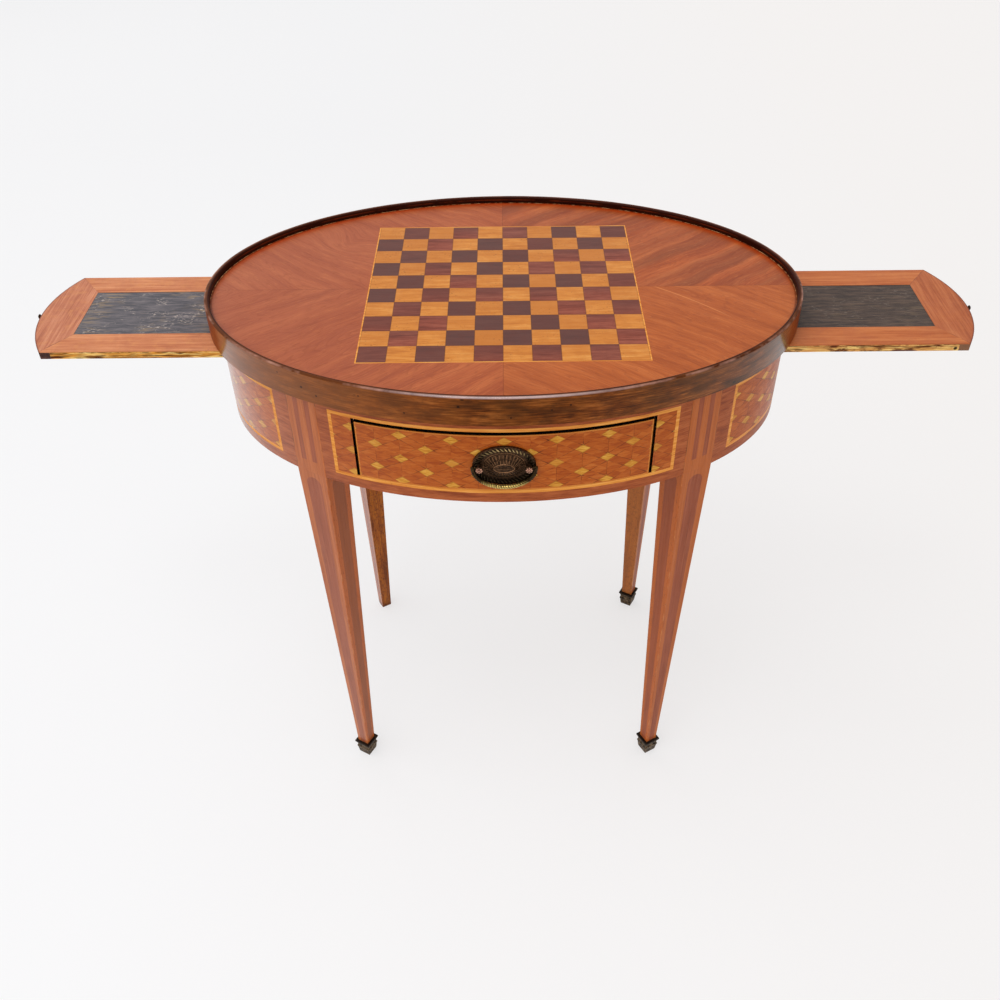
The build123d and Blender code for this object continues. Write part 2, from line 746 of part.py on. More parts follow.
def slide_frame():
    """The mitred veneer round the leather: an end piece, two long pieces and an inner cross-piece."""
    frame = slide_outline(*veneer_heights, slide_end)
    frame = frame - block((leather_start, leather_end), both(leather_half_width), veneer_heights)
    run = corner_x - leather_end
    rise = slide_half_width - leather_half_width
    reach = 2
    wedge = Polygon(
        (leather_end, -leather_half_width),
        (leather_end + run * reach, -leather_half_width - rise * reach),
        (leather_end + top_half_length, -leather_half_width - rise * reach),
        (leather_end + top_half_length, leather_half_width + rise * reach),
        (leather_end + run * reach, leather_half_width + rise * reach),
        (leather_end, leather_half_width),
        align=None,
    )
    wedge = Pos(0, 0, veneer_heights[0]) * extrude(wedge, amount=slide_veneer)
    cross = block((0, leather_start), both(leather_half_width), veneer_heights)
    return [frame & wedge, frame & cross, frame - wedge - cross]


def slide_knob():
    """A turned knob on a dowel, at the middle of the slide's end."""
    tip = slide_end[0]
    neck = slide_knob_neck_length
    middle = Pos(tip, 0, (slide_bottom + slide_top) / 2) * Rot(0, 90, 0)
    stem = lying_cylinder(slide_knob_neck_radius, -slide_knob_tenon, neck + slide_knob_neck_radius)
    head = lying_cylinder(slide_knob_radius, neck, slide_knob_length)
    head = chamfer(head.edges().filter_by(GeomType.CIRCLE), slide_knob_radius / 3)
    return middle * (stem + head)


def slide_parts():
    """The pieces of one slide, shut, on the right."""
    core_board = slide_outline(*core_heights, core_end)
    lipping = slide_outline(*core_heights, slide_end) - slide_outline(*core_heights, core_end)
    peg = Pos(peg_x, 0, slide_bottom - peg_drop) * Cylinder(
        peg_radius, peg_drop + slide_thickness - slide_veneer, align=(Align.CENTER, Align.CENTER, Align.MIN)
    )
    knob = slide_knob()
    leather = block((leather_start, leather_end), both(leather_half_width), leather_heights)
    return {
        "board": [core_board - peg - knob],
        "lipping": [lipping - knob],
        "veneer": slide_frame(),
        "leather": [leather],
        "knob": [knob],
        "stop_peg": [peg],
    }


for side, turn in (("right", 0), ("left", 180)):
    place = Rot(0, 0, turn) * Pos(slide_drawn, 0, 0)
    for node, shapes in slide_parts().items():
        save(f"slide_{side}_{node}", *[place * shape for shape in shapes])
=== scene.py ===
# %% [markdown]
# # An oval games table
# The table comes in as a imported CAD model, and this lesson gives it its looks: quartered and
# inlaid veneers, worn leather, darkened brass, a soft studio and the camera of the photograph.
# Everything is in metres. The table stands on the floor at z = 0, its drawer faces -Y and its
# two slides run along X.

import math

import bmesh
import bpy
from mathutils import Euler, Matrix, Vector


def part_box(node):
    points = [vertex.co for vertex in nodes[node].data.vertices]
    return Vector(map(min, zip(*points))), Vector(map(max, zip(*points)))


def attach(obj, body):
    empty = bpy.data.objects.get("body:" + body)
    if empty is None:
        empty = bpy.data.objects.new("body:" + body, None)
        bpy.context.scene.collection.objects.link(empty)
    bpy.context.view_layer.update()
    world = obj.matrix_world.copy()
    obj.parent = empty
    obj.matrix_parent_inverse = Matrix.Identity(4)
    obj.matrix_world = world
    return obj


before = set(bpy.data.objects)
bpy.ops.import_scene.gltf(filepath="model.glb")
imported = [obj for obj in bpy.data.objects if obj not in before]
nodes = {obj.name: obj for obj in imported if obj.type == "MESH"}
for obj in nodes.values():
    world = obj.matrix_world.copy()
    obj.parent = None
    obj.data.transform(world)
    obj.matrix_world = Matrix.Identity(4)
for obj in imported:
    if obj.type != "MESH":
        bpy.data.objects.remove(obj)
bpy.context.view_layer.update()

# %% [markdown]
# A few sizes are shared by the finishes below. They are read from the CAD nodes' boxes where
# that is possible, so the patterns stay on the solids: the oval of the band, the oval of the
# frieze, the edge of the top inside its lip, and the height of the top.

# %% Shared sizes
band_low, band_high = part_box("gallery_band")
frieze_low, frieze_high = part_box("frieze_crossbanding")
line_low, line_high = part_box("board_line")
top_low, top_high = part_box("top_veneer")
band_half_length = band_high[0]
band_half_depth = -band_low[1]
frieze_half_length = frieze_high[0]
frieze_half_depth = -frieze_low[1]
surface = line_high[2]
squares_a_side = 10
square_side = 0.033
board_half = square_side * squares_a_side / 2
leg_angle = math.radians(41)
print("band", band_half_length, band_half_depth, "frieze", frieze_half_length, frieze_half_depth)
print("top from", top_low[2], "to", top_high[2], "line from", line_low[2], "to", surface)

# %% [markdown]
# Colours are written as they look on a screen, from 0 to 255, because that is how a colour is
# judged by eye. Blender's sockets want linear light, so one helper turns the one into the other,
# by the rule that screens follow.

# %% Colour helper
def tint(red, green, blue):
    """A screen colour as the linear colour that a socket takes."""
    linear = []
    for value in (red, green, blue):
        share = value / 255
        linear.append(share / 12.92 if share <= 0.04045 else ((share + 0.055) / 1.055) ** 2.4)
    return (*linear, 1.0)


print("middle grey:", tint(128, 128, 128))

# %% [markdown]
# Materials are built from nodes. What a node puts out is wrapped in a small class, so that a sum
# of nodes can be written as a sum: `a * b + c` adds a Multiply node and an Add node and joins
# them. The wrapped value knows its node tree, so no helper has to be told it. `put` adds a node
# of any kind, sets its options and fills its sockets, and `fill` joins a socket where it is
# given a wrapped value.

# %% Values and nodes
class Value:
    """What a node puts out: a number, a colour or a place."""

    def __init__(self, socket):
        self.socket = socket
        self.tree = socket.id_data

    def __add__(self, other):
        return calc("ADD", self, other)

    def __sub__(self, other):
        return calc("SUBTRACT", self, other)

    def __rsub__(self, other):
        return calc("SUBTRACT", other, self)

    def __mul__(self, other):
        return calc("MULTIPLY", self, other)

    def __truediv__(self, other):
        return calc("DIVIDE", self, other)

    def __abs__(self):
        return calc("ABSOLUTE", self)


def tree_of(*values):
    """The node tree of the first wrapped value among these."""
    return next(value.tree for value in values if isinstance(value, Value))


def fill(node, key, value):
    """Joins a wrapped value to an input of a node, or sets the input to a plain value."""
    if isinstance(value, Value):
        value.tree.links.new(value.socket, node.inputs[key])
    else:
        node.inputs[key].default_value = value


def put(tree, kind, values=None, **options):
    """Adds a node to a tree, sets its options and fills its inputs."""
    node = tree.nodes.new(kind)
    for name, option in options.items():
        setattr(node, name, option)
    for key, value in (values or {}).items():
        fill(node, key, value)
    return node


def calc(operation, first, second=0.0):
    """The result of one Math node."""
    values = {0: first, 1: second}
    tree = tree_of(first, second)
    return Value(put(tree, "ShaderNodeMath", values, operation=operation).outputs[0])


print("values can be added, subtracted, multiplied and divided:", Value.__name__)

# %% [markdown]
# The other small helpers each stand for one kind of node that comes back in every finish:
# a place made of three numbers and one split into them, a mask that runs from 0 to 1 between two
# limits, a blend of two colours, smooth noise, one random number for each whole-numbered place,
# and the distance to a point.

# %% Node helpers
def vector(x, y, z):
    """Three numbers as one place."""
    return Value(put(tree_of(x, y, z), "ShaderNodeCombineXYZ", {0: x, 1: y, 2: z}).outputs[0])


def split(place):
    """The three parts of a place."""
    return [Value(part) for part in put(place.tree, "ShaderNodeSeparateXYZ", {0: place}).outputs]


def between(value, low, high):
    """0 at low, 1 at high, and a straight run between them, whichever is the larger."""
    limits = {"Value": value, "From Min": low, "From Max": high}
    return Value(put(value.tree, "ShaderNodeMapRange", limits, clamp=True).outputs[0])


def over(value, limit):
    """1 above a limit and 0 below it."""
    return calc("GREATER_THAN", value, limit)


def larger(first, second):
    """The larger of two numbers."""
    return calc("MAXIMUM", first, second)


def blend(share, first, second, mode="MIX"):
    """Two colours mixed by a share from 0 to 1."""
    colours = {0: share, 6: first, 7: second}
    tree = tree_of(share, first, second)
    return Value(put(tree, "ShaderNodeMix", colours, data_type="RGBA", blend_type=mode).outputs[2])


def noise(place, scale=1.0, detail=3.0, roughness=0.55, distortion=0.0):
    """Smooth noise about a half."""
    values = {"Vector": place, "Scale": scale, "Detail": detail, "Roughness": roughness}
    values["Distortion"] = distortion
    return Value(put(place.tree, "ShaderNodeTexNoise", values).outputs[0])


def chance(place):
    """One random number for each whole-numbered place."""
    return Value(put(place.tree, "ShaderNodeTexWhiteNoise", {"Vector": place}).outputs[0])


def cells(place, scale):
    """How far a place is from the nearest of many strewn points."""
    values = {"Vector": place, "Scale": scale}
    return Value(put(place.tree, "ShaderNodeTexVoronoi", values, feature="F1").outputs["Distance"])


def apart(place, point):
    """How far a place is from one point."""
    node = put(place.tree, "ShaderNodeVectorMath", {0: place, 1: point}, operation="DISTANCE")
    return Value(node.outputs["Value"])


helpers = (vector, split, between, over, larger, blend, noise, chance, cells, apart)
print("node helpers:", [helper.__name__ for helper in helpers])

# %% [markdown]
# What more than one finish needs becomes a node group with named sockets. An input's kind
# follows from its starting value: a number, a colour, or nothing for a place. Of the outputs,
# Color is a colour and the others are numbers. `new_group` gives back the group and its inputs
# as wrapped values, `give_out` joins its results, and `use_group` places it in another tree.

# %% Group helpers
socket_kinds = {float: "NodeSocketFloat", tuple: "NodeSocketColor", type(None): "NodeSocketVector"}


def new_group(name, inputs, outputs):
    """An empty node group, and its inputs by their names."""
    group = bpy.data.node_groups.new(name, "ShaderNodeTree")
    for label, start in inputs.items():
        kind = socket_kinds[type(start)]
        socket = group.interface.new_socket(label, in_out="INPUT", socket_type=kind)
        if start is not None:
            socket.default_value = start
    for label in outputs:
        kind = socket_kinds[tuple if label == "Color" else float]
        group.interface.new_socket(label, in_out="OUTPUT", socket_type=kind)
    entry = group.nodes.new("NodeGroupInput")
    return group, {label: Value(entry.outputs[label]) for label in inputs}


def give_out(group, results):
    """Joins a group's results to its outputs."""
    way_out = group.nodes.new("NodeGroupOutput")
    for label, value in results.items():
        fill(way_out, label, value)
    print("group", group.name, "has", len(group.nodes), "nodes")


def use_group(group, values):
    """Places a group in the tree of its values, and gives back its outputs by their names."""
    node = put(tree_of(*values.values()), "ShaderNodeGroup", values, node_tree=group)
    return {socket.name: Value(socket) for socket in node.outputs}


print("socket kinds:", list(socket_kinds.values()))

# %% [markdown]
# Every wood here shows the same three things: a broad figure that drifts along the grain, fine
# streaks, and short dark pores. One group makes all three from a place that is already turned
# along the grain, so each wood only has its own colours and widths. It puts out a colour, a
# height for the bump and a roughness.

# %% The wood grain group
grain_group, wood = new_group(
    "wood grain",
    {
        "Along": 0.0,
        "Across": 0.0,
        "Third": 0.0,
        "Dark": tint(90, 45, 30),
        "Middle": tint(160, 80, 50),
        "Pale": tint(200, 120, 80),
        "Figure width": 0.03,
        "Figure length": 0.25,
        "Streak width": 0.002,
        "Streak length": 0.06,
        "Figure share": 0.5,
        "Pores": 0.4,
        "Pore width": 0.0007,
        "Polish": 0.35,
    },
    ("Color", "Height", "Roughness"),
)
pore_stretch = 14.0


def stretched(length, width):
    """The place in the wood, measured in lengths and widths of one feature."""
    return vector(wood["Along"] / length, wood["Across"] / width, wood["Third"] / width)


figure = noise(stretched(wood["Figure length"], wood["Figure width"]), detail=3.0, distortion=0.5)
streaks = noise(stretched(wood["Streak length"], wood["Streak width"]), detail=4.0, roughness=0.6)
pore_width = wood["Pore width"]
pores = between(noise(stretched(pore_width * pore_stretch, pore_width), detail=1.0), 0.58, 0.7)
figure_tone = between(figure, 0.32, 0.68)
streak_tone = between(streaks, 0.34, 0.66)
figure_share = wood["Figure share"]
tone = figure_tone * figure_share + streak_tone * (1.0 - figure_share)
lower = blend(between(tone, 0.08, 0.5), wood["Dark"], wood["Middle"])
upper = blend(between(tone, 0.5, 0.92), lower, wood["Pale"])
pore_share = pores * wood["Pores"]
give_out(
    grain_group,
    {
        "Color": blend(pore_share, upper, wood["Dark"]),
        "Height": streak_tone * 0.35 - pore_share,
        "Roughness": wood["Polish"] + pore_share * 0.25 + (0.5 - figure_tone) * 0.08,
    },
)

# %% [markdown]
# The band and the frieze are bent round an oval, and their grain follows it. The distance round
# an oval has no plain formula, but it is very nearly an even turn with two small waves added.
# The three numbers below are the sizes of the even turn and of the waves, worked out here by
# adding up short steps round the oval. The group also gives the height and how far in from the
# oval a place lies.

# %% Distance round an oval
def oval_waves(half_length, half_depth, steps=720):
    """The even turn and the first two waves of the distance round an oval."""
    sums = [0.0, 0.0, 0.0]
    for step in range(steps):
        turn = 2 * math.pi * (step + 0.5) / steps
        speed = math.hypot(half_length * math.cos(turn), half_depth * math.sin(turn))
        for wave in range(3):
            sums[wave] += speed * math.cos(2 * wave * turn) / steps
    return sums[0], sums[1], sums[2] / 2


def length_of(first, second):
    """The length of a slanting line from its two straight parts."""
    return calc("SQRT", first * first + second * second)


round_group, oval = new_group(
    "distance round an oval",
    {
        "Place": None,
        "Half length": 0.36,
        "Half depth": 0.24,
        "Even turn": 0.3,
        "First wave": 0.03,
        "Second wave": 0.0,
    },
    ("Round", "Height", "Inward"),
)
x, y, z = split(oval["Place"])
share_x = x / oval["Half length"]
share_y = y / oval["Half depth"]
turn = calc("ARCTAN2", share_x, share_y * -1.0)
first_wave = calc("SINE", turn * 2.0) * oval["First wave"]
second_wave = calc("SINE", turn * 4.0) * oval["Second wave"]
share_out = length_of(share_x, share_y)
steepness = length_of(share_x / oval["Half length"], share_y / oval["Half depth"])
give_out(
    round_group,
    {
        "Round": turn * oval["Even turn"] + first_wave + second_wave,
        "Height": z,
        "Inward": (1.0 - share_out) * share_out / steepness,
    },
)
band_waves = oval_waves(band_half_length, band_half_depth)
frieze_waves = oval_waves(frieze_half_length, frieze_half_depth)
print("frieze waves:", frieze_waves)

# %% [markdown]
# Each finish starts the same way: a new material with a Principled shader, and the Object place
# of a Texture Coordinate node. Varnished and waxed wood has a thin clear layer, which is the
# shader's coat. Where its strength is the same all over, it is set on the shader's own socket.
# On the frieze and the legs the coat is thin to look straight at and strong where the eye skims
# the surface, as old varnish is. `tone_with` lays a second colour over the first by a mask and
# a share, which is how every stain, fleck and worn place below is drawn, and `grain` places
# the wood grain group with one wood's colours and widths.

# %% Material helpers
def new_finish(name, coat=0.0, coat_roughness=0.2, metallic=0.0, specular=0.1):
    """A material, its shader and the object place on it."""
    material = bpy.data.materials.new(name)
    material.use_nodes = True
    tree = material.node_tree
    shader = tree.nodes["Principled BSDF"]
    shader.inputs["Coat Weight"].default_value = coat
    shader.inputs["Coat Roughness"].default_value = coat_roughness
    shader.inputs["Metallic"].default_value = metallic
    shader.inputs["Specular IOR Level"].default_value = specular
    return material, shader, Value(put(tree, "ShaderNodeTexCoord").outputs["Object"])


def finish_with(shader, colour, height, roughness, depth):
    """Joins a colour, a bump of some depth and a roughness to a shader."""
    fill(shader, "Base Color", colour)
    fill(shader, "Roughness", roughness)
    bumps = {"Height": height, "Strength": 0.6, "Distance": depth}
    fill(shader, "Normal", Value(put(colour.tree, "ShaderNodeBump", bumps).outputs[0]))


def grazing_coat(shader, least, most, polish):
    """The weight of a clear coat that grows where the eye skims the surface."""
    facing = Value(put(shader.id_data, "ShaderNodeLayerWeight", {"Blend": 0.5}).outputs["Facing"])
    spread = {"Value": facing, "From Min": 0.2, "From Max": 0.66, "To Min": least, "To Max": most}
    weight = Value(put(shader.id_data, "ShaderNodeMapRange", spread, clamp=True).outputs[0])
    return weight * polish


def tone_with(colour, mask, share, other):
    """A colour turned towards another one where a mask says so."""
    return blend(mask * share, colour, other if isinstance(other, Value) else tint(*other))


def grain(place, woods, figure, streak, figure_share=0.5, pores=(0.4, 0.0007), polish=0.35):
    """The wood grain group in a material, with its dark, middle and pale colour and its widths.

    The figure and the streaks are given by their width and length, the pores by their share
    and width.
    """
    values = dict(zip(("Along", "Across", "Third"), place))
    values.update(zip(("Dark", "Middle", "Pale"), (tint(*colour) for colour in woods)))
    values.update(zip(("Figure width", "Figure length"), figure))
    values.update(zip(("Streak width", "Streak length"), streak))
    values.update(zip(("Pores", "Pore width"), pores))
    values.update({"Figure share": figure_share, "Polish": polish})
    return use_group(grain_group, values)


def round_the(place, half_length, half_depth, waves):
    """The distance round an oval, the height and the distance in from the oval."""
    values = {"Place": place, "Half length": half_length, "Half depth": half_depth}
    values.update(zip(("Even turn", "First wave", "Second wave"), waves))
    return use_group(round_group, values)


def round_frieze(place):
    """The distance round the frieze, the height and the distance in from its face."""
    return round_the(place, frieze_half_length, frieze_half_depth, frieze_waves)


helpers = (new_finish, finish_with, grazing_coat, tone_with, grain, round_the, round_frieze)
print("material helpers:", [helper.__name__ for helper in helpers])

# %% [markdown]
# Four small effects come back in many finishes, so each is a node group that is built once.
# Flecks are short strokes along the grain. Dirt is fine specks that gather in clouds. Polish
# tells how much varnish is left, which is nearly all of it on the left and little on the right.
# A worn edge is a line that noise breaks into patches.

# %% Flecks, dirt, polish and worn edges
fleck_group, fleck = new_group(
    "flecks along the grain",
    {"Along": 0.0, "Across": 0.0, "Third": 0.0, "Length": 0.012, "Width": 0.0012, "Rareness": 0.64},
    ("Mask",),
)
fleck_width = fleck["Width"]
fleck_place = vector(
    fleck["Along"] / fleck["Length"], fleck["Across"] / fleck_width, fleck["Third"] / fleck_width
)
rareness = fleck["Rareness"]
give_out(fleck_group, {"Mask": between(noise(fleck_place, detail=2.0), rareness, rareness + 0.08)})

dirt_group, soil = new_group("dirt in specks", {"Place": None, "Scale": 420.0}, ("Mask",))
specks = between(noise(soil["Place"], scale=soil["Scale"], detail=2.0), 0.62, 0.72)
dirt_clouds = between(noise(soil["Place"], scale=soil["Scale"] * 0.09, detail=3.0), 0.46, 0.68)
give_out(dirt_group, {"Mask": specks * dirt_clouds})

polish_group, varnish = new_group("polish that is left", {"Place": None}, ("Polish",))
across_table = split(varnish["Place"])[0]
give_out(polish_group, {"Polish": between(across_table, 0.25, -0.2) * 0.86 + 0.14})

edge_group, edge = new_group("worn edge", {"Place": None, "Line": 0.0, "Scale": 90.0}, ("Mask",))
edge_noise = noise(edge["Place"], scale=edge["Scale"], detail=4.0, roughness=0.65)
give_out(edge_group, {"Mask": edge["Line"] * between(edge_noise, 0.44, 0.62)})


def flecks(along, across, third, length, width, rareness):
    """Short strokes along the grain."""
    values = {"Along": along, "Across": across, "Third": third, "Length": length, "Width": width}
    return use_group(fleck_group, {**values, "Rareness": rareness})["Mask"]


def dirt(place, scale):
    """Fine specks that gather in clouds."""
    return use_group(dirt_group, {"Place": place, "Scale": scale})["Mask"]


def left_polish(place):
    """How much varnish is left at a place."""
    return use_group(polish_group, {"Place": place})["Polish"]


def worn_edge(place, line, scale):
    """A line broken into worn patches."""
    return use_group(edge_group, {"Place": place, "Line": line, "Scale": scale})["Mask"]


print("shared effects:", [group.name for group in bpy.data.node_groups])

# %% [markdown]
# The top is quartered: four leaves of one striped veneer, opened like a book across both middle
# lines, so the stripes run out from the board to all four sides. Folding the place at both
# middle lines makes the matching halves, and a slant of 38 degrees turns the stripes. A knot
# stood near the back left, so the lines bow round it there. One group turns a place on the top
# into a place along and across these lines.

# %% Lines of the quartered top
knot_spot = (-0.205, 0.118, surface)
knot_reach = 0.062
knot_bow = 0.03
top_group, top = new_group(
    "quartered top", {"Place": None, "Slant": math.radians(38)}, ("Along", "Across", "Leaf")
)
x, y = split(top["Place"])[:2]
cosine = calc("COSINE", top["Slant"])
sine = calc("SINE", top["Slant"])
wander = noise(top["Place"], scale=4.5, detail=2.0) - 0.5
ripple = noise(top["Place"], scale=19.0, detail=2.0) - 0.5
knot_pull = calc("POWER", between(apart(top["Place"], knot_spot), knot_reach, 0.0), 1.6)
straight = abs(y) * cosine - abs(x) * sine
give_out(
    top_group,
    {
        "Along": abs(x) * cosine + abs(y) * sine,
        "Across": straight + wander * 0.05 + ripple * 0.005 + knot_pull * knot_bow,
        "Leaf": over(y, 0.0) * 2.0 + over(x, 0.0),
    },
)

# %% [markdown]
# The four leaves have not aged alike: the one at the back right has broad dark bands and the right
# ones are more orange. The left ones carry a painted greyish-pink sheen. Thin dark lines run along
# the grain like the lines of a map, with short flecks between them. The line where the top meets
# the band is painted darker. At the back a painted red reflection of the lip runs beside that line,
# and the foot of the lip is worn pale. One light streak, a little bent, runs out from the seam on
# the right.

# %% Top veneer
top_woods = ((140, 60, 26), (176, 87, 40), (200, 111, 57))
contour_count = 14.0
streak_start, streak_slope, streak_bend = 0.044, 0.217, -2.44
top_veneer, shader, place = new_finish("quartered top veneer", coat=0.14, coat_roughness=0.2)
x, y = split(place)[:2]
along, across, leaf = use_group(top_group, {"Place": place}).values()
top_run = (along, across, leaf * 0.004)
top_grain = grain(top_run, top_woods, (0.019, 0.22), (0.0024, 0.045), 0.66, (0.4, 0.0008), 0.34)
on_right = over(x, 0.0)
at_back = over(y, 0.0)
front_right = on_right * (1.0 - at_back)
dark_bands = between(noise(vector(along / 0.5, across / 0.026, 4.0), detail=2.0), 0.38, 0.64)
colour = tone_with(top_grain["Color"], dark_bands * (on_right * at_back), 0.7, (116, 56, 30))
# Painted sheen: the left leaves are turned towards a greyish pink.
colour = tone_with(colour, between(x, 0.1, -0.2), 0.55, (170, 97, 72))
colour = tone_with(colour, front_right, 0.35, (188, 102, 34))
mottle = between(noise(place, scale=14.0, detail=4.0), 0.38, 0.66)
colour = tone_with(colour, mottle, 0.22, (146, 64, 34))
broad = between(noise(place, scale=4.2, detail=3.0), 0.35, 0.7)
colour = tone_with(colour, broad, 0.25, (150, 64, 32))
pale_flecks = flecks(along, across, leaf, 0.016, 0.0016, 0.62)
colour = tone_with(colour, pale_flecks, 0.3, (214, 132, 74))
dark_flecks = flecks(along, across, leaf + 0.05, 0.012, 0.0014, 0.62)
colour = tone_with(colour, dark_flecks, 0.3, (108, 46, 24))
contour_noise = noise(vector(along / 0.17, across / 0.024, leaf * 3.0), detail=2.0, distortion=0.6)
contours = between(calc("FRACT", contour_noise * contour_count), 0.45, 0.0)
colour = tone_with(colour, contours, 0.27, (122, 52, 26))
streak_curve = x * (x * streak_bend + streak_slope) + streak_start
streak_run = between(x, 0.186, 0.192) * between(x, 0.272, 0.258)
streak = (1.0 - between(abs(y - streak_curve), 0.0004, 0.0018)) * streak_run * front_right
colour = tone_with(colour, streak, 0.55, (222, 138, 76))
seam_x = 1.0 - between(abs(x), 0.0002, 0.0008)
seam_y = 1.0 - between(abs(y), 0.0002, 0.0008)
colour = tone_with(colour, larger(seam_x, seam_y), 0.35, (96, 36, 16))
past_lip = round_the(place, top_high[0], top_high[1], band_waves)["Inward"]
# A painted red reflection of the lip on the top, beside the lip at the back.
lip_reflection_run = between(past_lip, 0.012, 0.002) * between(y, -0.02, 0.1)
colour = tone_with(colour, lip_reflection_run, 0.9, (168, 54, 6))
# Painted darker along the line where the top meets the band.
colour = tone_with(colour, between(past_lip, 0.0034, 0.0014), 0.7, (84, 26, 10))
foot_line = between(past_lip, 0.0014, 0.0008) * between(y, -0.06, 0.02)
colour = tone_with(colour, worn_edge(place, foot_line, 120.0), 0.85, (226, 166, 112))
finish_with(shader, colour, top_grain["Height"], top_grain["Roughness"], 0.00012)
print("top:", top_veneer.name, "with", len(top_veneer.node_tree.nodes), "nodes")

# %% [markdown]
# The board has a hundred small squares of two woods. The dark ones came from more than one
# board: some are nearly black and some red-brown, and many are darker along one edge. Two
# random numbers for each square, from its column and row, pick its shade and how much it has
# aged, and shift the grain so that no two are alike. Between the squares runs a hair of dark
# glue. A group finds all this out for a place on the board.

# %% Place on the draughts board
square_group, board = new_group(
    "place on the board",
    {"Place": None, "Side": square_side, "Board half": board_half},
    ("First", "Second", "Joint", "Lean"),
)
x, y = split(board["Place"])[:2]
across_board = (x + board["Board half"]) / board["Side"]
up_board = (y + board["Board half"]) / board["Side"]
column = calc("FLOOR", across_board)
row = calc("FLOOR", up_board)
in_column = across_board - column
in_row = up_board - row
second = chance(vector(column, row, 8.0))
from_middle = larger(abs(in_column - 0.5), abs(in_row - 0.5))
give_out(
    square_group,
    {
        "First": chance(vector(column, row, 3.0)),
        "Second": second,
        "Joint": between(from_middle, 0.478, 0.496),
        "Lean": between(in_row + second, 0.7, 1.5),
    },
)

# %% [markdown]
# Both woods of the squares are finished in the same way, each with its own colours. The pale
# one is cloudier and shows more dirt in its pores.

# %% Draughts board
def square_wood(name, woods, other, pick, speck):
    """The wood of the squares, with another shade for those whose number is over pick."""
    material, shader, place = new_finish(name, coat=0.12, coat_roughness=0.2)
    x, y = split(place)[:2]
    square = use_group(square_group, {"Place": place})
    first = square["First"]
    run = (first * 7.0 + x, y, first)
    squares = grain(run, woods, (0.009, 0.06), (0.0015, 0.025), 0.55, (0.35, 0.0007), 0.34)
    picked = between(first, pick - 0.12, pick + 0.12) * 0.85
    colour = blend(larger(picked, square["Lean"] * 0.5), squares["Color"], tint(*other))
    streaked = flecks(first * 3.0 + x, y, first, 0.009, 0.001, 0.6)
    colour = tone_with(colour, streaked, 0.15, woods[0])
    aged = between(square["Second"], 0.5, 0.9)
    colour = tone_with(colour, aged, 0.3, woods[0])
    clouded = between(noise(place, scale=85.0, detail=4.0, roughness=0.62), 0.42, 0.68)
    colour = tone_with(colour, clouded, speck * 0.5, woods[0])
    colour = tone_with(colour, dirt(place, 420.0), speck, (70, 36, 14))
    colour = tone_with(colour, square["Joint"], 0.5, (60, 24, 12))
    finish_with(shader, colour, squares["Height"], squares["Roughness"], 0.0001)
    return material


dark_woods = ((103, 44, 31), (138, 67, 50), (158, 87, 66))
light_woods = ((184, 108, 40), (207, 130, 52), (222, 154, 78))
square_dark = square_wood("dark squares", dark_woods, (84, 55, 51), 0.5, 0.35)
square_light = square_wood("light squares", light_woods, (192, 116, 46), 0.7, 0.9)
print("squares:", square_dark.name, "and", square_light.name)

# %% [markdown]
# The thin lines are of pale boxwood, yellowed by old varnish. They are too narrow to show much
# figure, so a light grain and a few darker breaks are enough. The line of the board is
# straight, and the lines of the frieze are bent round the oval with their grain. The one round
# the drawer front has gone browner than the rest.

# %% Line wood
line_woods = ((190, 104, 32), (224, 144, 56), (238, 172, 88))


def line_wood(name, bent, browned=0.0):
    """Pale stringing, straight or bent round the frieze, and browned by a share."""
    material, shader, place = new_finish(name, coat=0.12, coat_roughness=0.25)
    run = round_frieze(place).values() if bent else split(place)
    pale = grain(run, line_woods, (0.004, 0.05), (0.0011, 0.06), 0.5, (0.15, 0.0007), 0.36)
    colour = tone_with(pale["Color"], dirt(place, 300.0), 0.5, (120, 56, 14))
    colour = blend(browned, colour, tint(176, 90, 30))
    finish_with(shader, colour, pale["Height"], pale["Roughness"], 0.0001)
    return material


board_line = line_wood("board line", False)
frieze_line = line_wood("frieze line", True)
drawer_line = line_wood("drawer edge line", True, 0.5)
print("lines:", board_line.name, frieze_line.name, "and", drawer_line.name)

# %% [markdown]
# The band is one long strip of a darker wood, bent round the top, with nail holes and small
# knots. Its grain runs round the oval, with long dark blotches, and it is paler on the left.
# Behind, where it stands above the top, its inner side has gone nearly black with wax, with a
# painted highlight along the bead inside the lip. The outer top edge is worn pale with a painted
# grey-pink highlight, and in front it carries a brighter painted highlight under a full coat.
# Beside the slides the band is painted red-brown, partly its own colour and partly a painted
# reflection of the slides' veneer. The larger knots have their own places, and the small ones are
# strewn.

# %% Gallery band
band_knots = (
    (-0.2630, 0.7314, 0.0013),
    (-0.2311, 0.7220, 0.0019),
    (-0.2123, 0.7155, 0.0017),
    (-0.1591, 0.7285, 0.0014),
    (-0.1079, 0.7148, 0.0015),
    (-0.0483, 0.7284, 0.0021),
    (0.0078, 0.7148, 0.0014),
    (0.0515, 0.7231, 0.0013),
    (0.0718, 0.7278, 0.0016),
)
band_woods = ((60, 24, 6), (120, 61, 19), (164, 95, 42))
band_top = band_high[2]
bead_height = band_top - 0.0036
lip_thickness = band_half_depth - top_high[1]
band_wood, shader, place = new_finish("band wood", coat_roughness=0.14, specular=0.05)
x, y = split(place)[:2]
run, height, inward = round_the(place, band_half_length, band_half_depth, band_waves).values()
band_run = (run, height, inward)
band_grain = grain(band_run, band_woods, (0.009, 0.05), (0.0014, 0.03), 0.5, (0.5, 0.0008), 0.36)
blotch_noise = noise(vector(run / 0.034, height / 0.011, inward), detail=4.0, roughness=0.6)
colour = tone_with(band_grain["Color"], between(blotch_noise, 0.44, 0.6), 0.62, (52, 24, 10))
olive = between(noise(place, scale=11.0, detail=3.0), 0.4, 0.66)
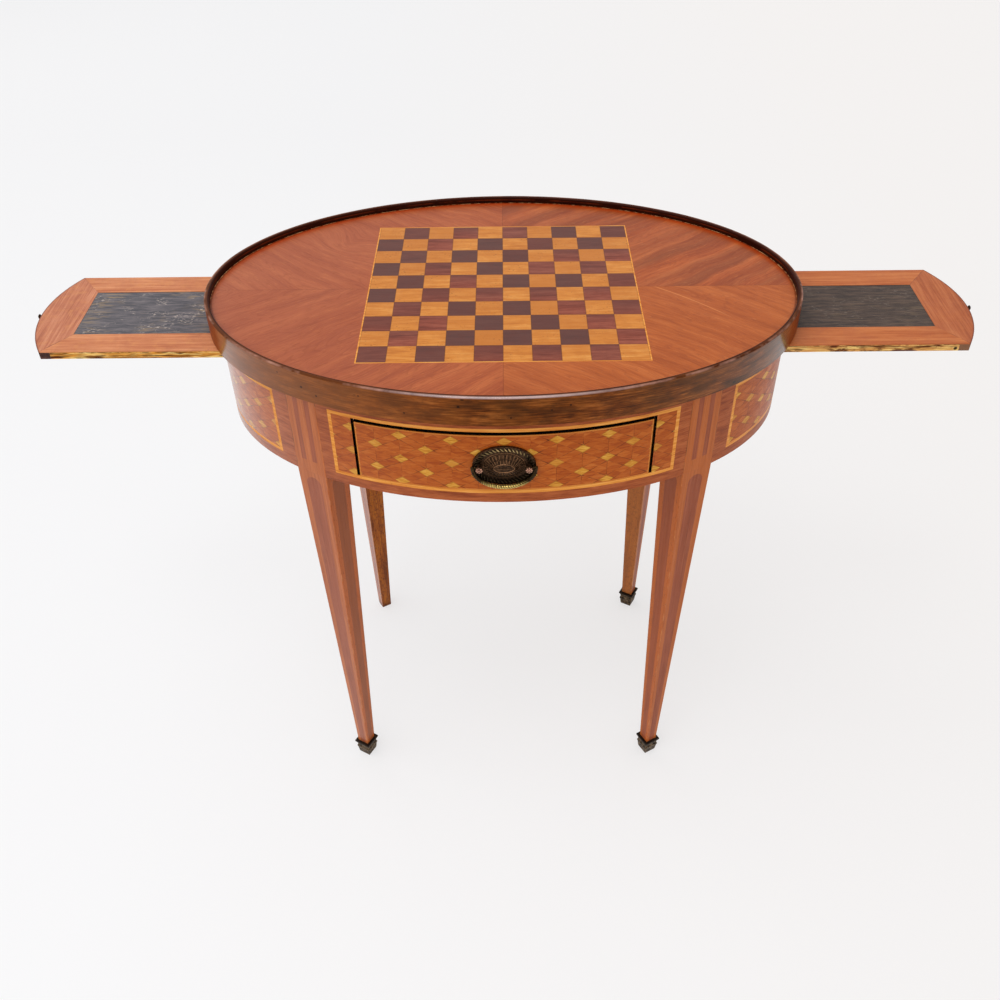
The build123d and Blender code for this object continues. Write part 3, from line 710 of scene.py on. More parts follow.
colour = tone_with(colour, olive, 0.4, (88, 58, 22))
colour = tone_with(colour, between(x, -0.02, -0.2), 0.45, (152, 88, 44))
spot = between(cells(vector(run / 0.05, height / 0.026, 0.0), 1.0), 0.06, 0.02)
on_band = vector(run, height, 0.0)
for knot_round, knot_height, knot_size in band_knots:
    knot_apart = apart(on_band, (knot_round, knot_height, 0.0))
    spot = larger(spot, between(knot_apart, knot_size, knot_size * 0.4))
colour = tone_with(colour, spot, 0.85, (24, 12, 8))
inner_side = between(inward, lip_thickness * 0.55, lip_thickness * 0.8)
colour = tone_with(colour, inner_side, 0.95, (34, 6, 3))
# A painted highlight along the bead inside the lip, broken into patches.
lip_bead_highlight = between(abs(height - bead_height), 0.0012, 0.0004) * inner_side
colour = tone_with(colour, worn_edge(place, lip_bead_highlight, 26.0), 0.6, (118, 44, 20))
crest = between(height, band_top - 0.0022, band_top - 0.0006)
outermost = crest * between(inward, 0.003, 0.0012)
colour = tone_with(colour, crest, 0.6, (58, 20, 10))
# The outer top edge: worn pale, and also a painted grey-pink highlight, broken into patches.
colour = tone_with(colour, worn_edge(place, outermost, 22.0), 0.8, (186, 136, 118))
waxed = larger(inner_side, crest)
# Beside the slides: a painted reflection of the slides' veneer over the band's own red-brown.
slide_reflection = between(abs(x), 0.328, 0.338) * (1.0 - waxed)
colour = tone_with(colour, slide_reflection, 0.78, (128, 54, 16))
# A painted highlight on the outer top edge in front, where the coat is also made full.
front_highlight = outermost * (between(abs(x), 0.15, 0.05) * calc("LESS_THAN", y, 0.0))
colour = tone_with(colour, front_highlight, 0.6, (196, 176, 176))
finish_with(shader, colour, band_grain["Height"], band_grain["Roughness"], 0.0002)
skimming = grazing_coat(shader, 0.0, 1.0, 1.0 - larger(waxed, slide_reflection))
fill(shader, "Coat Weight", larger(skimming, front_highlight))
print("large knots in the band:", len(band_knots))

# %% [markdown]
# The frieze has a red-brown border whose grain runs level, pale lines round each panel, and in
# each panel a trellis: yellow lozenges joined by slanting bands, with a seam down the middle of
# every field between them. Only the lozenges are solids of their own. The seams between the
# other pieces are thinner than a hair, so they are drawn in the material, and each piece gets
# its own random shade, as veneers cut in turn do. The bands and seams are measured in parts of
# the pitch, and the random number comes from which band, lozenge or field a place is in.

# %% Trellis group
lozenge_pitch = 0.0296
lozenge_rise = 0.0164
lozenge_middle = 0.6404
band_half = 0.16
seam_half = 0.012
band_number = 40.0
quarter_round = frieze_waves[0] * math.pi / 2
leg_turns = (leg_angle, math.sin(2 * leg_angle), math.sin(4 * leg_angle))
leg_round = sum(size * part for size, part in zip(frieze_waves, leg_turns))
trellis_group, panel = new_group(
    "trellis of veneers", {"Round": 0.0, "Height": 0.0}, ("Seams", "Piece", "Corners", "Rim")
)


def off_centre(value):
    """How far a number is from the nearest whole number."""
    return abs(value - calc("ROUND", value))


def near(value, target, half_width):
    """1 within half_width of a target, falling to 0."""
    return 1.0 - between(abs(value - target), half_width * 0.5, half_width * 1.5)


reach = abs(panel["Round"])
folded = calc("MINIMUM", reach, 2 * quarter_round - reach)
in_side = over(folded, leg_round)
panel_reach = folded * (1.0 - in_side) + (quarter_round - folded) * in_side
column = panel_reach / lozenge_pitch
row = (panel["Height"] - lozenge_middle) / lozenge_rise
rising = (column + row) * 0.5
falling = (column - row) * 0.5
rising_off = off_centre(rising)
falling_off = off_centre(falling)
in_rising = calc("LESS_THAN", rising_off, band_half)
in_falling = calc("LESS_THAN", falling_off, band_half)
in_field = (1.0 - in_rising) * (1.0 - in_falling)
middle_seam = near(off_centre(column), 0.0, seam_half * 0.9) * in_field
edge_seams = larger(near(rising_off, band_half, seam_half), near(falling_off, band_half, seam_half))
piece_number = vector(
    in_rising * band_number + calc("ROUND", rising),
    in_falling * band_number + calc("ROUND", falling),
    calc("FLOOR", column) * in_field,
)
lozenge_off = larger(rising_off, falling_off)
near_lozenge = between(lozenge_off, band_half * 2.6, band_half * 1.4)
give_out(
    trellis_group,
    {
        "Seams": larger(edge_seams, middle_seam),
        "Piece": chance(piece_number),
        "Corners": edge_seams * near_lozenge,
        "Rim": between(lozenge_off, band_half * 0.86, band_half),
    },
)
print("trellis reaches", round(quarter_round, 4), "legs at", round(leg_round, 4))

# %% [markdown]
# The ground of the panels takes the trellis. The seams show most beside the lozenges, where
# dark filler has gathered, and on the right, where the varnish is gone. The drawer front
# carries on the front panel's pattern, so it uses the same finish. Two helpers serve the
# lozenges as well: `on_trellis` shifts the grain for each piece of veneer, and `finish_frieze`
# adds the old varnish.

# %% Panel ground
ground_woods = ((146, 62, 14), (178, 88, 24), (196, 110, 44))


def on_trellis(place):
    """The grain's place, shifted for each piece of veneer, and what the trellis says there."""
    run = round_frieze(place)
    pattern = use_group(trellis_group, {"Round": run["Round"], "Height": run["Height"]})
    return (run["Round"] + pattern["Piece"], run["Height"], pattern["Piece"]), pattern


def finish_frieze(shader, place, colour, height, roughness):
    """Joins a finish of the frieze to its shader, under a coat of old varnish."""
    finish_with(shader, colour, height, roughness, 0.00015)
    fill(shader, "Coat Weight", grazing_coat(shader, 0.04, 1.0, left_polish(place)))


ground_veneer, shader, place = new_finish("panel ground", coat_roughness=0.22)
piece_run, pattern = on_trellis(place)
ground = grain(piece_run, ground_woods, (0.010, 0.04), (0.0016, 0.025), 0.5, (0.35, 0.0006), 0.36)
colour = tone_with(ground["Color"], pattern["Piece"], 0.34, (150, 62, 12))
seam_share = between(split(place)[0], 0.0, 0.08) * 0.3 + 0.6
colour = tone_with(colour, worn_edge(place, pattern["Seams"], 70.0), seam_share, (74, 30, 8))
colour = tone_with(colour, worn_edge(place, pattern["Corners"], 55.0), 0.95, (54, 20, 6))
seam_height = ground["Height"] - pattern["Seams"] * 0.4
finish_frieze(shader, place, colour, seam_height, ground["Roughness"])
print("panel ground:", ground_veneer.name, "with", trellis_group.name)

# %% [markdown]
# The lozenges are of a yellow wood. Some are browner than others, and each is a little darker
# along its rim, where glue and polish have settled.

# %% Lozenges
lozenge_woods = ((168, 98, 22), (206, 142, 46), (226, 174, 80))
lozenge_wood, shader, place = new_finish("lozenge wood", coat_roughness=0.22)
piece_run, pattern = on_trellis(place)
lozenge = grain(piece_run, lozenge_woods, (0.006, 0.02), (0.0012, 0.012), 0.45, (0.4, 0.0005), 0.38)
browner = between(pattern["Piece"], 0.35, 1.0)
colour = tone_with(lozenge["Color"], browner, 0.7, (186, 112, 36))
colour = tone_with(colour, pattern["Rim"], 0.5, (120, 66, 14))
finish_frieze(shader, place, colour, lozenge["Height"], lozenge["Roughness"])
print("lozenges:", lozenge_wood.name)

# %% [markdown]
# The border round the panels is red-brown with level grain. Its top edge, just under the band,
# is painted a little darker as the band's shade.

# %% Frieze border
border_woods = ((124, 54, 22), (160, 80, 38), (180, 100, 54))
strip_low = frieze_high[2] - 0.0062
crossbanding, shader, place = new_finish("frieze border", coat_roughness=0.22)
run, height, inward = round_frieze(place).values()
border_run = (run, height, inward)
border = grain(border_run, border_woods, (0.008, 0.05), (0.0015, 0.02), 0.5, (0.4, 0.0007), 0.36)
# Painted shade under the band: the top edge of the border is a little darker.
band_shade_line = between(height, strip_low, strip_low + 0.0012)
colour = tone_with(border["Color"], band_shade_line, 0.5, (112, 52, 26))
colour = tone_with(colour, flecks(run, height, 0.2, 0.008, 0.0012, 0.62), 0.3, (90, 36, 14))
finish_frieze(shader, place, colour, border["Height"], border["Roughness"])
print("border:", crossbanding.name)

# %% [markdown]
# The legs are square and taper down to their shoes. Folded into one corner of the table, all
# four legs are one leg, with one outward direction. A group gives a place's distance outwards
# and sideways from the leg's axis, its height, half the leg's width there, how near it is to a
# corner of the leg, and whether it is on the side towards the drawer. The veneer and the strips
# in it both use it.

# %% Place on a leg
leg_width = 0.0425
foot_width = 0.0163
outward_x = math.sin(leg_angle) / frieze_half_length
outward_y = math.cos(leg_angle) / frieze_half_depth
outward_length = math.hypot(outward_x, outward_y)
outward_x /= outward_length
outward_y /= outward_length
axis_x = frieze_half_length * math.sin(leg_angle) - outward_x * leg_width / 2
axis_y = frieze_half_depth * math.cos(leg_angle) - outward_y * leg_width / 2
axis_reach = axis_x * outward_x + axis_y * outward_y
leg_top = frieze_low[2]
leg_group, on_leg = new_group(
    "place on a leg",
    {"Place": None},
    ("Outwards", "Sideways", "Height", "Half", "Corner", "Drawer side"),
)
x, y, z = split(on_leg["Place"])
outwards = abs(x) * outward_x + abs(y) * outward_y - axis_reach
sideways = (abs(x) - axis_x) * outward_y - (abs(y) - axis_y) * outward_x
climb = calc("MINIMUM", z / leg_top, 1.0)
half = climb * ((leg_width - foot_width) / 2) + foot_width / 2
give_out(
    leg_group,
    {
        "Outwards": outwards,
        "Sideways": sideways,
        "Height": z,
        "Half": half,
        "Corner": larger(half - abs(outwards), half - abs(sideways)),
        "Drawer side": between(sideways + half, 0.0016, 0.0008),
    },
)

# %% [markdown]
# The outer faces are veneered in a pinkish brown, more orange on the faces towards the drawer,
# and the inner face is plain stained wood of a golden brown with dark specks, paler on the
# right legs. The corners are rubbed paler, the joint beside the frieze has opened to a dark
# hairline, and the foot under the shoe is dark. The faces towards the drawer have lost most of
# their varnish.

# %% Leg wood
leg_woods = ((164, 86, 44), (179, 99, 54), (191, 111, 64))
inner_woods = ((104, 44, 4), (156, 80, 10), (186, 108, 24))


def finish_leg(shader, place, colour, veneer, drawer_face):
    """Joins a finish of the legs to its shader, with less varnish towards the drawer."""
    finish_with(shader, colour, veneer["Height"], veneer["Roughness"], 0.0002)
    polish = left_polish(place) * (drawer_face * -0.75 + 1.0)
    fill(shader, "Coat Weight", grazing_coat(shader, 0.06, 0.75, polish))


leg_wood, shader, place = new_finish("leg veneer", coat_roughness=0.24)
x = split(place)[0]
leg = use_group(leg_group, {"Place": place})
outwards, sideways, z, half = (leg[name] for name in ("Outwards", "Sideways", "Height", "Half"))
leg_run = (z, outwards, sideways)
leg_grain = grain(leg_run, leg_woods, (0.009, 0.22), (0.0016, 0.05), 0.6, (0.3, 0.0007), 0.38)
inner_grain = grain(leg_run, inner_woods, (0.012, 0.1), (0.0014, 0.06), 0.5, (0.8, 0.0007), 0.42)
inner_face = between(outwards + half, 0.0014, 0.0008)
colour = blend(inner_face, leg_grain["Color"], inner_grain["Color"])
drawer_face = leg["Drawer side"] * (1.0 - inner_face)
colour = tone_with(colour, drawer_face, 0.7, (180, 90, 34))
colour = tone_with(colour, between(z * 0.2 + x, -0.1, 0.3), 0.42, (178, 92, 32))
colour = tone_with(colour, flecks(*leg_run, 0.09, 0.0012, 0.56), 0.25, (112, 60, 34))
spot_share = larger(drawer_face, inner_face * 0.8 + 0.2)
spots = flecks(*leg_run, 0.006, 0.0012, 0.6) * spot_share
colour = tone_with(colour, spots, 0.45, (84, 36, 10))
inner_specks = flecks(*leg_run, 0.005, 0.0028, 0.55) * inner_face
colour = tone_with(colour, inner_specks, 0.55, (82, 34, 6))
colour = tone_with(colour, inner_face * between(x, 0.0, 0.1), 0.35, (178, 122, 82))
corner_line = between(leg["Corner"], 0.0016, 0.0004)
colour = tone_with(colour, worn_edge(place, corner_line, 60.0), 0.45, (212, 146, 92))
crack = between(half - abs(sideways), 0.0011, 0.0005) * over(z, leg_top + 0.001)
colour = tone_with(colour, worn_edge(place, crack, 30.0), 0.85, (46, 18, 8))
colour = tone_with(colour, between(z, 0.016, 0.004), 0.5, (66, 34, 20))
finish_leg(shader, place, colour, leg_grain, drawer_face)
print("legs:", leg_wood.name)

# %% [markdown]
# The strips let into the upper legs are of nearly the same wood, a little darker and more
# purple. On the left legs, and on the faces towards the drawer, they are nearer the colour of
# the leg.

# %% Strips in the legs
flute_woods = ((132, 64, 42), (148, 76, 50), (162, 88, 60))
flute_wood, shader, place = new_finish("leg strips", coat_roughness=0.24)
x = split(place)[0]
leg = use_group(leg_group, {"Place": place})
flute_run = (leg["Height"], leg["Outwards"], leg["Sideways"])
drawer_side = leg["Drawer side"]
flute = grain(flute_run, flute_woods, (0.007, 0.2), (0.0016, 0.05), 0.5, (0.4, 0.0007), 0.4)
on_left = between(x, 0.0, -0.1)
colour = tone_with(flute["Color"], on_left, 0.3, (166, 90, 56))
colour = tone_with(colour, drawer_side, 0.4, (154, 78, 40))
colour = tone_with(colour, drawer_side * on_left, 0.5, (146, 82, 40))
colour = tone_with(colour, between(x, 0.0, 0.3), 0.2, (156, 80, 34))
colour = tone_with(colour, flecks(*flute_run, 0.09, 0.0012, 0.55), 0.3, (104, 56, 36))
finish_leg(shader, place, colour, flute, drawer_side)
print("strips:", flute_wood.name)

# %% [markdown]
# The slides are plain boards under a thin veneer. The veneer frame is mitred at the corners,
# and its end piece has its grain across the slide. The same corner line as in the solid tells
# the two apart. A dark line runs round the bent end. The left slide has faded more than the
# right one, so the right one's colour is multiplied by a brown.

# %% Slide veneer
slide_low, slide_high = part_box("slide_right_veneer")
leather_low, leather_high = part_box("slide_right_leather")
leather_end = leather_high[0]
leather_side = leather_high[1]
slide_side = slide_high[1]
mitre_length = 0.0297
mitre_slope = mitre_length / (slide_side - leather_side)
set_back = 0.001
slide_shift = slide_high[0] - band_half_length + set_back
end_oval = (band_half_length - set_back, band_half_depth - set_back)
long_woods = ((178, 100, 62), (204, 128, 84), (222, 152, 106))
end_woods = ((160, 88, 60), (192, 118, 84), (210, 142, 106))
right_brown = (0.80, 0.62, 0.42, 1.0)
slide_veneer, shader, place = new_finish("slide veneer", coat=0.15, coat_roughness=0.35)
x, y, z = split(place)
mitre = abs(x) - leather_end - (abs(y) - leather_side) * mitre_slope
long_run = (x, y, z)
end_run = (y, x + 0.37, z)
long_grain = grain(long_run, long_woods, (0.012, 0.16), (0.0018, 0.06), 0.45, (0.3, 0.0007), 0.5)
end_grain = grain(end_run, end_woods, (0.012, 0.12), (0.0018, 0.06), 0.5, (0.3, 0.0007), 0.5)
colour = blend(over(mitre, 0.0), long_grain["Color"], end_grain["Color"])
on_right = over(x, 0.0)
colour = blend(on_right, colour, right_brown, "MULTIPLY")
stain_noise = noise(place, scale=34.0, detail=5.0, roughness=0.62, distortion=0.8)
colour = tone_with(colour, between(stain_noise, 0.46, 0.7), 0.3, (160, 86, 58))
gold = between(noise(place, scale=90.0, detail=3.0), 0.5, 0.7) * (on_right * -0.7 + 1.0)
colour = tone_with(colour, gold, 0.25, (222, 152, 84))
colour = tone_with(colour, dirt(place, 520.0), 0.5, (110, 56, 34))
end_place = vector(abs(x) - slide_shift, y, z)
past_end = round_the(end_place, *end_oval, band_waves)["Inward"]
colour = tone_with(colour, between(past_end, 0.0018, 0.0006), 0.75, (92, 34, 26))
mitre_line = 1.0 - between(abs(mitre), 0.0003, 0.001)
colour = tone_with(colour, worn_edge(place, mitre_line, 80.0), 0.7, (96, 52, 44))
finish_with(shader, colour, long_grain["Height"], long_grain["Roughness"], 0.00015)
print("slide veneer: leather from", round(leather_low[0], 4), "to", round(leather_end, 4))

# %% [markdown]
# The long edges of the slides were never varnished: raw wood, golden on the left and cream on
# the right, with pale and dark splinters, brown blotches and a dark line under the veneer. A
# nail hole is in the right one, beside the lipping.

# %% Raw wood of the slides
raw_woods = ((108, 48, 8), (226, 154, 62), (255, 230, 150))
board_top = slide_low[2]
lipping_low, lipping_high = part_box("slide_right_lipping")
nail_hole = (lipping_low[0] - 0.004, -slide_side, board_top - 0.0055)
slide_wood, shader, place = new_finish("raw slide wood")
x, y, z = split(place)
on_right = over(x, 0.0)
raw = grain((x, z, y), raw_woods, (0.004, 0.05), (0.0012, 0.06), 0.6, (0.5, 0.0007), 0.62)
colour = tone_with(raw["Color"], on_right, 0.45, (208, 158, 100))
pale_splinters = flecks(x, z, y + 0.1, 0.03, 0.0022, 0.54)
colour = tone_with(colour, pale_splinters, 0.6, (255, 226, 140))
splinters = flecks(x, z, y, 0.034, 0.0024, 0.55)
colour = tone_with(colour, splinters, 0.95, (78, 30, 6))
blotch_noise = noise(vector(x / 0.035, y / 0.02, z / 0.012), detail=5.0, roughness=0.65)
blotches = between(blotch_noise, 0.5, 0.58) * (on_right * 0.6 + 0.4)
colour = tone_with(colour, blotches, 1.0, (92, 46, 22))
under_veneer = between(z, board_top - 0.0018, board_top - 0.0008)
colour = tone_with(colour, worn_edge(place, under_veneer, 90.0), 0.8, (74, 34, 14))
bottom_line = between(z, board_top - 0.0098, board_top - 0.0106)
colour = tone_with(colour, bottom_line, 0.5, (80, 44, 22))
hole = between(apart(place, nail_hole), 0.0028, 0.0016)
colour = tone_with(colour, hole, 0.95, (14, 8, 6))
finish_with(shader, colour, raw["Height"], raw["Roughness"], 0.0005)
print("raw wood:", slide_wood.name, "with a nail hole at", nail_hole)

# %% [markdown]
# The lipping at the end of each slide is a dark wood, paler on the right.

# %% Lipping of the slides
lipping_woods = ((42, 22, 18), (72, 42, 32), (100, 62, 46))
slide_lipping, shader, place = new_finish("slide end wood", coat=0.2, coat_roughness=0.3)
x, y, z = split(place)
lipping = grain((y, x, z), lipping_woods, (0.006, 0.05), (0.0014, 0.06), 0.5, (0.5, 0.0007), 0.45)
colour = tone_with(lipping["Color"], over(x, 0.0), 0.6, (150, 104, 72))
finish_with(shader, colour, lipping["Height"], lipping["Roughness"], 0.0003)
print("lipping from", round(lipping_low[0], 4), "to", round(lipping_high[0], 4))

# %% [markdown]
# The leather of the slides is dry, blue-black on the left and brown-black on the right. Papers
# and arms have rubbed it along its length into grey streaks, tan smudges show where the dye has
# gone, and along the middle of the left one flakes are down to the pale skin, gathered in
# clouds. On the right a few slanting scratches show. The fine grain of leather is a pattern of
# cells, used for the bump.

# %% Slide leather
leather, shader, place = new_finish("slide leather", specular=0.3)
x, y = split(place)[:2]
on_left = calc("LESS_THAN", x, 0.0)
bent_y = (noise(place, scale=22.0) - 0.5) * 0.012 + y
rub_noise = noise(vector(x / 0.035, bent_y / 0.0042, 0.0), detail=6.0, roughness=0.72)
rubs = between(rub_noise, 0.42, 0.66)
ground_tone = blend(on_left, tint(50, 37, 32), tint(66, 64, 72))
rubbed_tone = blend(on_left, tint(108, 88, 76), tint(130, 122, 124))
colour = tone_with(ground_tone, rubs, on_left * 0.08 + 0.74, rubbed_tone)
wide = between(noise(place, scale=19.0, detail=3.0), 0.42, 0.7)
smudges = wide * flecks(x, bent_y, 0.3, 0.024, 0.004, 0.5)
colour = tone_with(colour, smudges, on_left * 0.5 + 0.15, (160, 134, 98))
middle_belt = between(abs(y), 0.075, 0.03)
flake_clouds = between(noise(place, scale=40.0, detail=3.0), 0.52, 0.6)
flakes = flecks(x, bent_y, 0.6, 0.0055, 0.0016, 0.57) * middle_belt * flake_clouds
colour = tone_with(colour, flakes * (on_left * 0.75 + 0.15), 0.9, (206, 190, 178))
scratches = flecks(y * -0.9 + x, x * 0.9 + y, 0.1, 0.05, 0.0012, 0.66)
colour = tone_with(colour, scratches * between(x, 0.3, 0.38), 0.4, (150, 140, 136))
from_edge = leather_side - abs(y)
colour = tone_with(colour, between(from_edge, 0.0014, 0.0005), 0.7, (26, 20, 20))
leather_height = cells(place, 900.0) * 0.5 + rubs * 0.4
finish_with(shader, colour, leather_height, rubs * 0.18 + 0.5, 0.0003)
print("leather:", leather.name)

# %% [markdown]
# The frame under the top, the drawer's box and the runners are plain planed softwood, brown
# with age and a little dusty. Nobody polished them, so they are dull. Each is sawn along its
# longest side, and one group serves them all with the grain along X or along Y. The rails, the
# stiles and the drawer front are painted nearly black where they show in the gap round the
# drawer, as painted shade, so the gap reads as a dark line. The painted shade reaches about a
# centimetre in from the face of the frieze, and its edge is ragged.

# %% Carcase wood
plain_woods = ((128, 84, 44), (166, 118, 70), (190, 146, 96))
softwood_group, aged_wood = new_group(
    "old softwood",
    {"Place": None, "Along": 0.0, "Across": 0.0, "Third": 0.0},
    ("Color", "Height", "Roughness"),
)
plain_run = [aged_wood[label] for label in ("Along", "Across", "Third")]
plain = grain(plain_run, plain_woods, (0.014, 0.4), (0.0022, 0.06), 0.5, (0.35, 0.0007), 0.62)
dust = between(noise(aged_wood["Place"], scale=9.0, detail=4.0), 0.45, 0.7)
dusty = tone_with(plain["Color"], dust, 0.3, (112, 82, 56))
give_out(softwood_group, {**plain, "Color": dusty})


def carcase_wood(name, axis, shaded=False):
    """Old softwood with its grain along one axis, and painted shade near the frieze's face if so.
    """
    material, shader, place = new_finish(name)
    parts = split(place)
    values = {"Place": place, "Along": parts[axis], "Across": parts[1 - axis], "Third": parts[2]}
    softwood = use_group(softwood_group, values)
    colour = softwood["Color"]
    if shaded:
        # Painted shade of the gap round the drawer: nearly black within about a centimetre of the
        # frieze.
        ragged = noise(place, scale=60.0, detail=3.0) * 0.004 + round_frieze(place)["Inward"]
        colour = tone_with(colour, between(ragged, 0.013, 0.0105), 1.0, (16, 8, 5))
    finish_with(shader, colour, softwood["Height"], softwood["Roughness"], 0.0003)
    return material


carcase_x = carcase_wood("carcase wood along x", 0)
carcase_y = carcase_wood("carcase wood along y", 1)
carcase_front = carcase_wood("carcase wood stained in front", 0, shaded=True)
print("carcase woods:", carcase_x.name, carcase_y.name, "and", carcase_front.name)

# %% [markdown]
# The shoes and the pull are cast brass gone nearly black, rubbed back to a warm metal where
# hands and mops touch. A noise breaks the dark skin, and the metal shows where it is thin.
# Towards a height given for each piece the metal shows more: on the pull this is a painted
# highlight, at the top of the plate, the rim and the heads and at the bottom of the bail, and on
# the shoes it is wear. The metal also shows on the raised parts of the ornament, which carry an
# attribute named rubbed, and on the pull the painted highlight brightens these too. Nodes
# without it read it as nothing. The shoes are dark round their collar and rubbed below it.

# %% Brass
brass_group, cast = new_group(
    "old brass",
    {
        "Place": None,
        "Raised": 0.0,
        "Skin": tint(44, 32, 24),
        "Metal": tint(150, 120, 80),
        "Share": 0.5,
        "Scale": 300.0,
        "Bright from": 0.0,
        "Bright to": 1.0,
        "Dullness": 0.4,
    },
    ("Color", "Height", "Roughness"),
)
patches = between(noise(cast["Place"], scale=cast["Scale"], detail=4.0), 0.35, 0.7)
fine = noise(cast["Place"], scale=cast["Scale"] * 7.0, detail=3.0)
# Brighter towards a height: a painted highlight on the pull, wear on the shoes.
lit = between(split(cast["Place"])[2], cast["Bright from"], cast["Bright to"])
worn_skin_and_highlight = patches * cast["Share"] * (lit * 0.88 + 0.12)
relief_wear_and_highlight = cast["Raised"] * (lit * 0.96 + 0.04) * (patches * 0.6 + 0.4)
rubbed = larger(worn_skin_and_highlight, relief_wear_and_highlight)
colour = blend(rubbed, cast["Skin"], cast["Metal"])
pits = between(fine, 0.45, 0.7) * (1.0 - cast["Raised"])
give_out(
    brass_group,
    {
        "Color": tone_with(colour, pits, 0.3, cast["Skin"]),
        "Height": fine,
        "Roughness": cast["Dullness"] - rubbed * 0.12,
    },
)


def old_brass(name, skin, metal, share, scale, dullness, bright=(0.0, 1.0)):
    """Darkened brass, with more metal from one height towards another: shoe wear, pull highlight.
    """
    material, shader, place = new_finish(name, metallic=0.75)
    raised = put(place.tree, "ShaderNodeAttribute", attribute_name="rubbed").outputs["Fac"]
    values = {"Place": place, "Raised": Value(raised), "Share": share, "Scale": scale}
    values.update({"Skin": tint(*skin), "Metal": tint(*metal), "Dullness": dullness})
    values.update(zip(("Bright from", "Bright to"), bright))
    brass = use_group(brass_group, values)
    finish_with(shader, brass["Color"], brass["Height"], brass["Roughness"], 0.0002)
    return material


pull_low, pull_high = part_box("pull_backplate")
shoe_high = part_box("sabot_front_left")[1][2]
pull_middle = (pull_low[2] + pull_high[2]) / 2
shoe_lit = (shoe_high - 0.002, shoe_high - 0.006)
# On the pull these heights place painted highlights: upper plate and heads, top of rim, bottom of
# bail.
plate_lit = (pull_middle - 0.03, pull_middle)
rim_lit = (pull_middle + 0.0125, pull_middle + 0.025)
bail_lit = (pull_middle - 0.0175, pull_middle - 0.0245)
shoe_brass = old_brass("shoe brass", (30, 24, 20), (140, 118, 92), 0.9, 240.0, 0.5, shoe_lit)
pull_brass = old_brass("pull brass", (28, 19, 14), (166, 120, 84), 0.3, 420.0, 0.3, plate_lit)
rim_brass = old_brass("pull rim brass", (26, 18, 12), (255, 218, 150), 0.15, 300.0, 0.3, rim_lit)
bail_brass = old_brass("bail brass", (34, 20, 13), (255, 222, 128), 0.4, 300.0, 0.28, bail_lit)
head_brass = old_brass("rosette brass", (60, 30, 24), (232, 174, 146), 0.4, 300.0, 0.38, plate_lit)
iron = old_brass("dull iron", (60, 54, 50), (110, 104, 98), 0.6, 200.0, 0.5)
metals = (shoe_brass, pull_brass, rim_brass, bail_brass, head_brass, iron)
print("metals:", [metal.name for metal in metals])

# %% [markdown]
# Each CAD node now gets its finish. A node keeps its mesh, and only its material slot changes.
# The finish is looked up by the node's whole name, then by how the name starts, and the rest
# are carcase wood along X.

# %% Give the CAD nodes their finishes
finishes = {
    "top_veneer": top_veneer,
    "board_squares_dark": square_dark,
    "board_squares_light": square_light,
    "board_line": board_line,
    "gallery_band": band_wood,
    "frieze_crossbanding": crossbanding,
    "frieze_lines": frieze_line,
    "frieze_ground": ground_veneer,
    "frieze_lozenges": lozenge_wood,
    "drawer_ground": ground_veneer,
    "drawer_lozenges": lozenge_wood,
    "drawer_edge_line": drawer_line,
    "drawer_front": carcase_front,
    "front_upper_rail": carcase_front,
    "front_lower_rail": carcase_front,
    "front_stile_left": carcase_front,
    "front_stile_right": carcase_front,
    "leg_flutes": flute_wood,
    "pull_backplate": pull_brass,
    "pull_posts": pull_brass,
    "pull_bail": bail_brass,
    "pull_nuts": iron,
    "top_screws": iron,
}
slide_finishes = {
    "board": slide_wood,
    "stop_peg": slide_wood,
    "lipping": slide_lipping,
    "veneer": slide_veneer,
    "leather": leather,
    "knob": pull_brass,
}
for side in ("left", "right"):
    for part, finish in slide_finishes.items():
        finishes[f"slide_{side}_{part}"] = finish
name_starts = {
    "leg_": leg_wood,
    "sabot_": shoe_brass,
    "apron_left": carcase_y,
    "apron_right": carcase_y,
    "drawer_side": carcase_y,
    "drawer_runner": carcase_y,
    "drawer_guide": carcase_y,
    "drawer_stops": carcase_y,
    "slide_centre": carcase_y,
}
for name, node in nodes.items():
    finish = finishes.get(name)
    if finish is None:
        by_start = [wood for start, wood in name_starts.items() if name.startswith(start)]
        finish = by_start[0] if by_start else carcase_x
    node.data.materials.clear()
    node.data.materials.append(finish)
print("finishes given to", len(nodes), "nodes")

# %% [markdown]
# The pull carries ornament too fine for the CAD: a fluted dome with a small oval in its middle,
# a rope of slanting beads along the rim, petals on the two heads and a twist along the bail.
# Each is modelled from one starting shape. A few helpers come first. `settle` applies
# a finished piece's place and turn, points its faces outward, gives it its finish and lets it
# ride on its body. `rub` marks how much each point is rubbed, for the brass. `strew` sets out
# copies of one small piece and joins them, and `even_steps` finds the places for them.

# %% Helpers for modelled pieces
smooth_angle = math.radians(38)


def only(piece):
    """Selects one object and nothing else."""
    bpy.ops.object.select_all(action="DESELECT")
    piece.select_set(True)
    bpy.context.view_layer.objects.active = piece


def apply_all(piece):
    """Applies a piece's place, turn and size to its mesh."""
    only(piece)
    bpy.ops.object.transform_apply(location=True, rotation=True, scale=True)


def edit_all():
    """Goes into edit mode with the whole mesh selected."""
    bpy.ops.object.mode_set(mode="EDIT")
    bpy.ops.mesh.select_all(action="SELECT")


def settle(piece, name, material, body, slot):
    """Applies the piece's place, turn and size, and gives it its finish and its body."""
    piece.name = name
    apply_all(piece)
    edit_all()
    bpy.ops.mesh.normals_make_consistent(inside=False)
    bpy.ops.object.mode_set(mode="OBJECT")
    bpy.ops.object.shade_smooth_by_angle(angle=smooth_angle)
    piece.data.materials.clear()
    piece.data.materials.append(material)
    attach(piece, body)
    print(name, "faces:", len(piece.data.polygons))


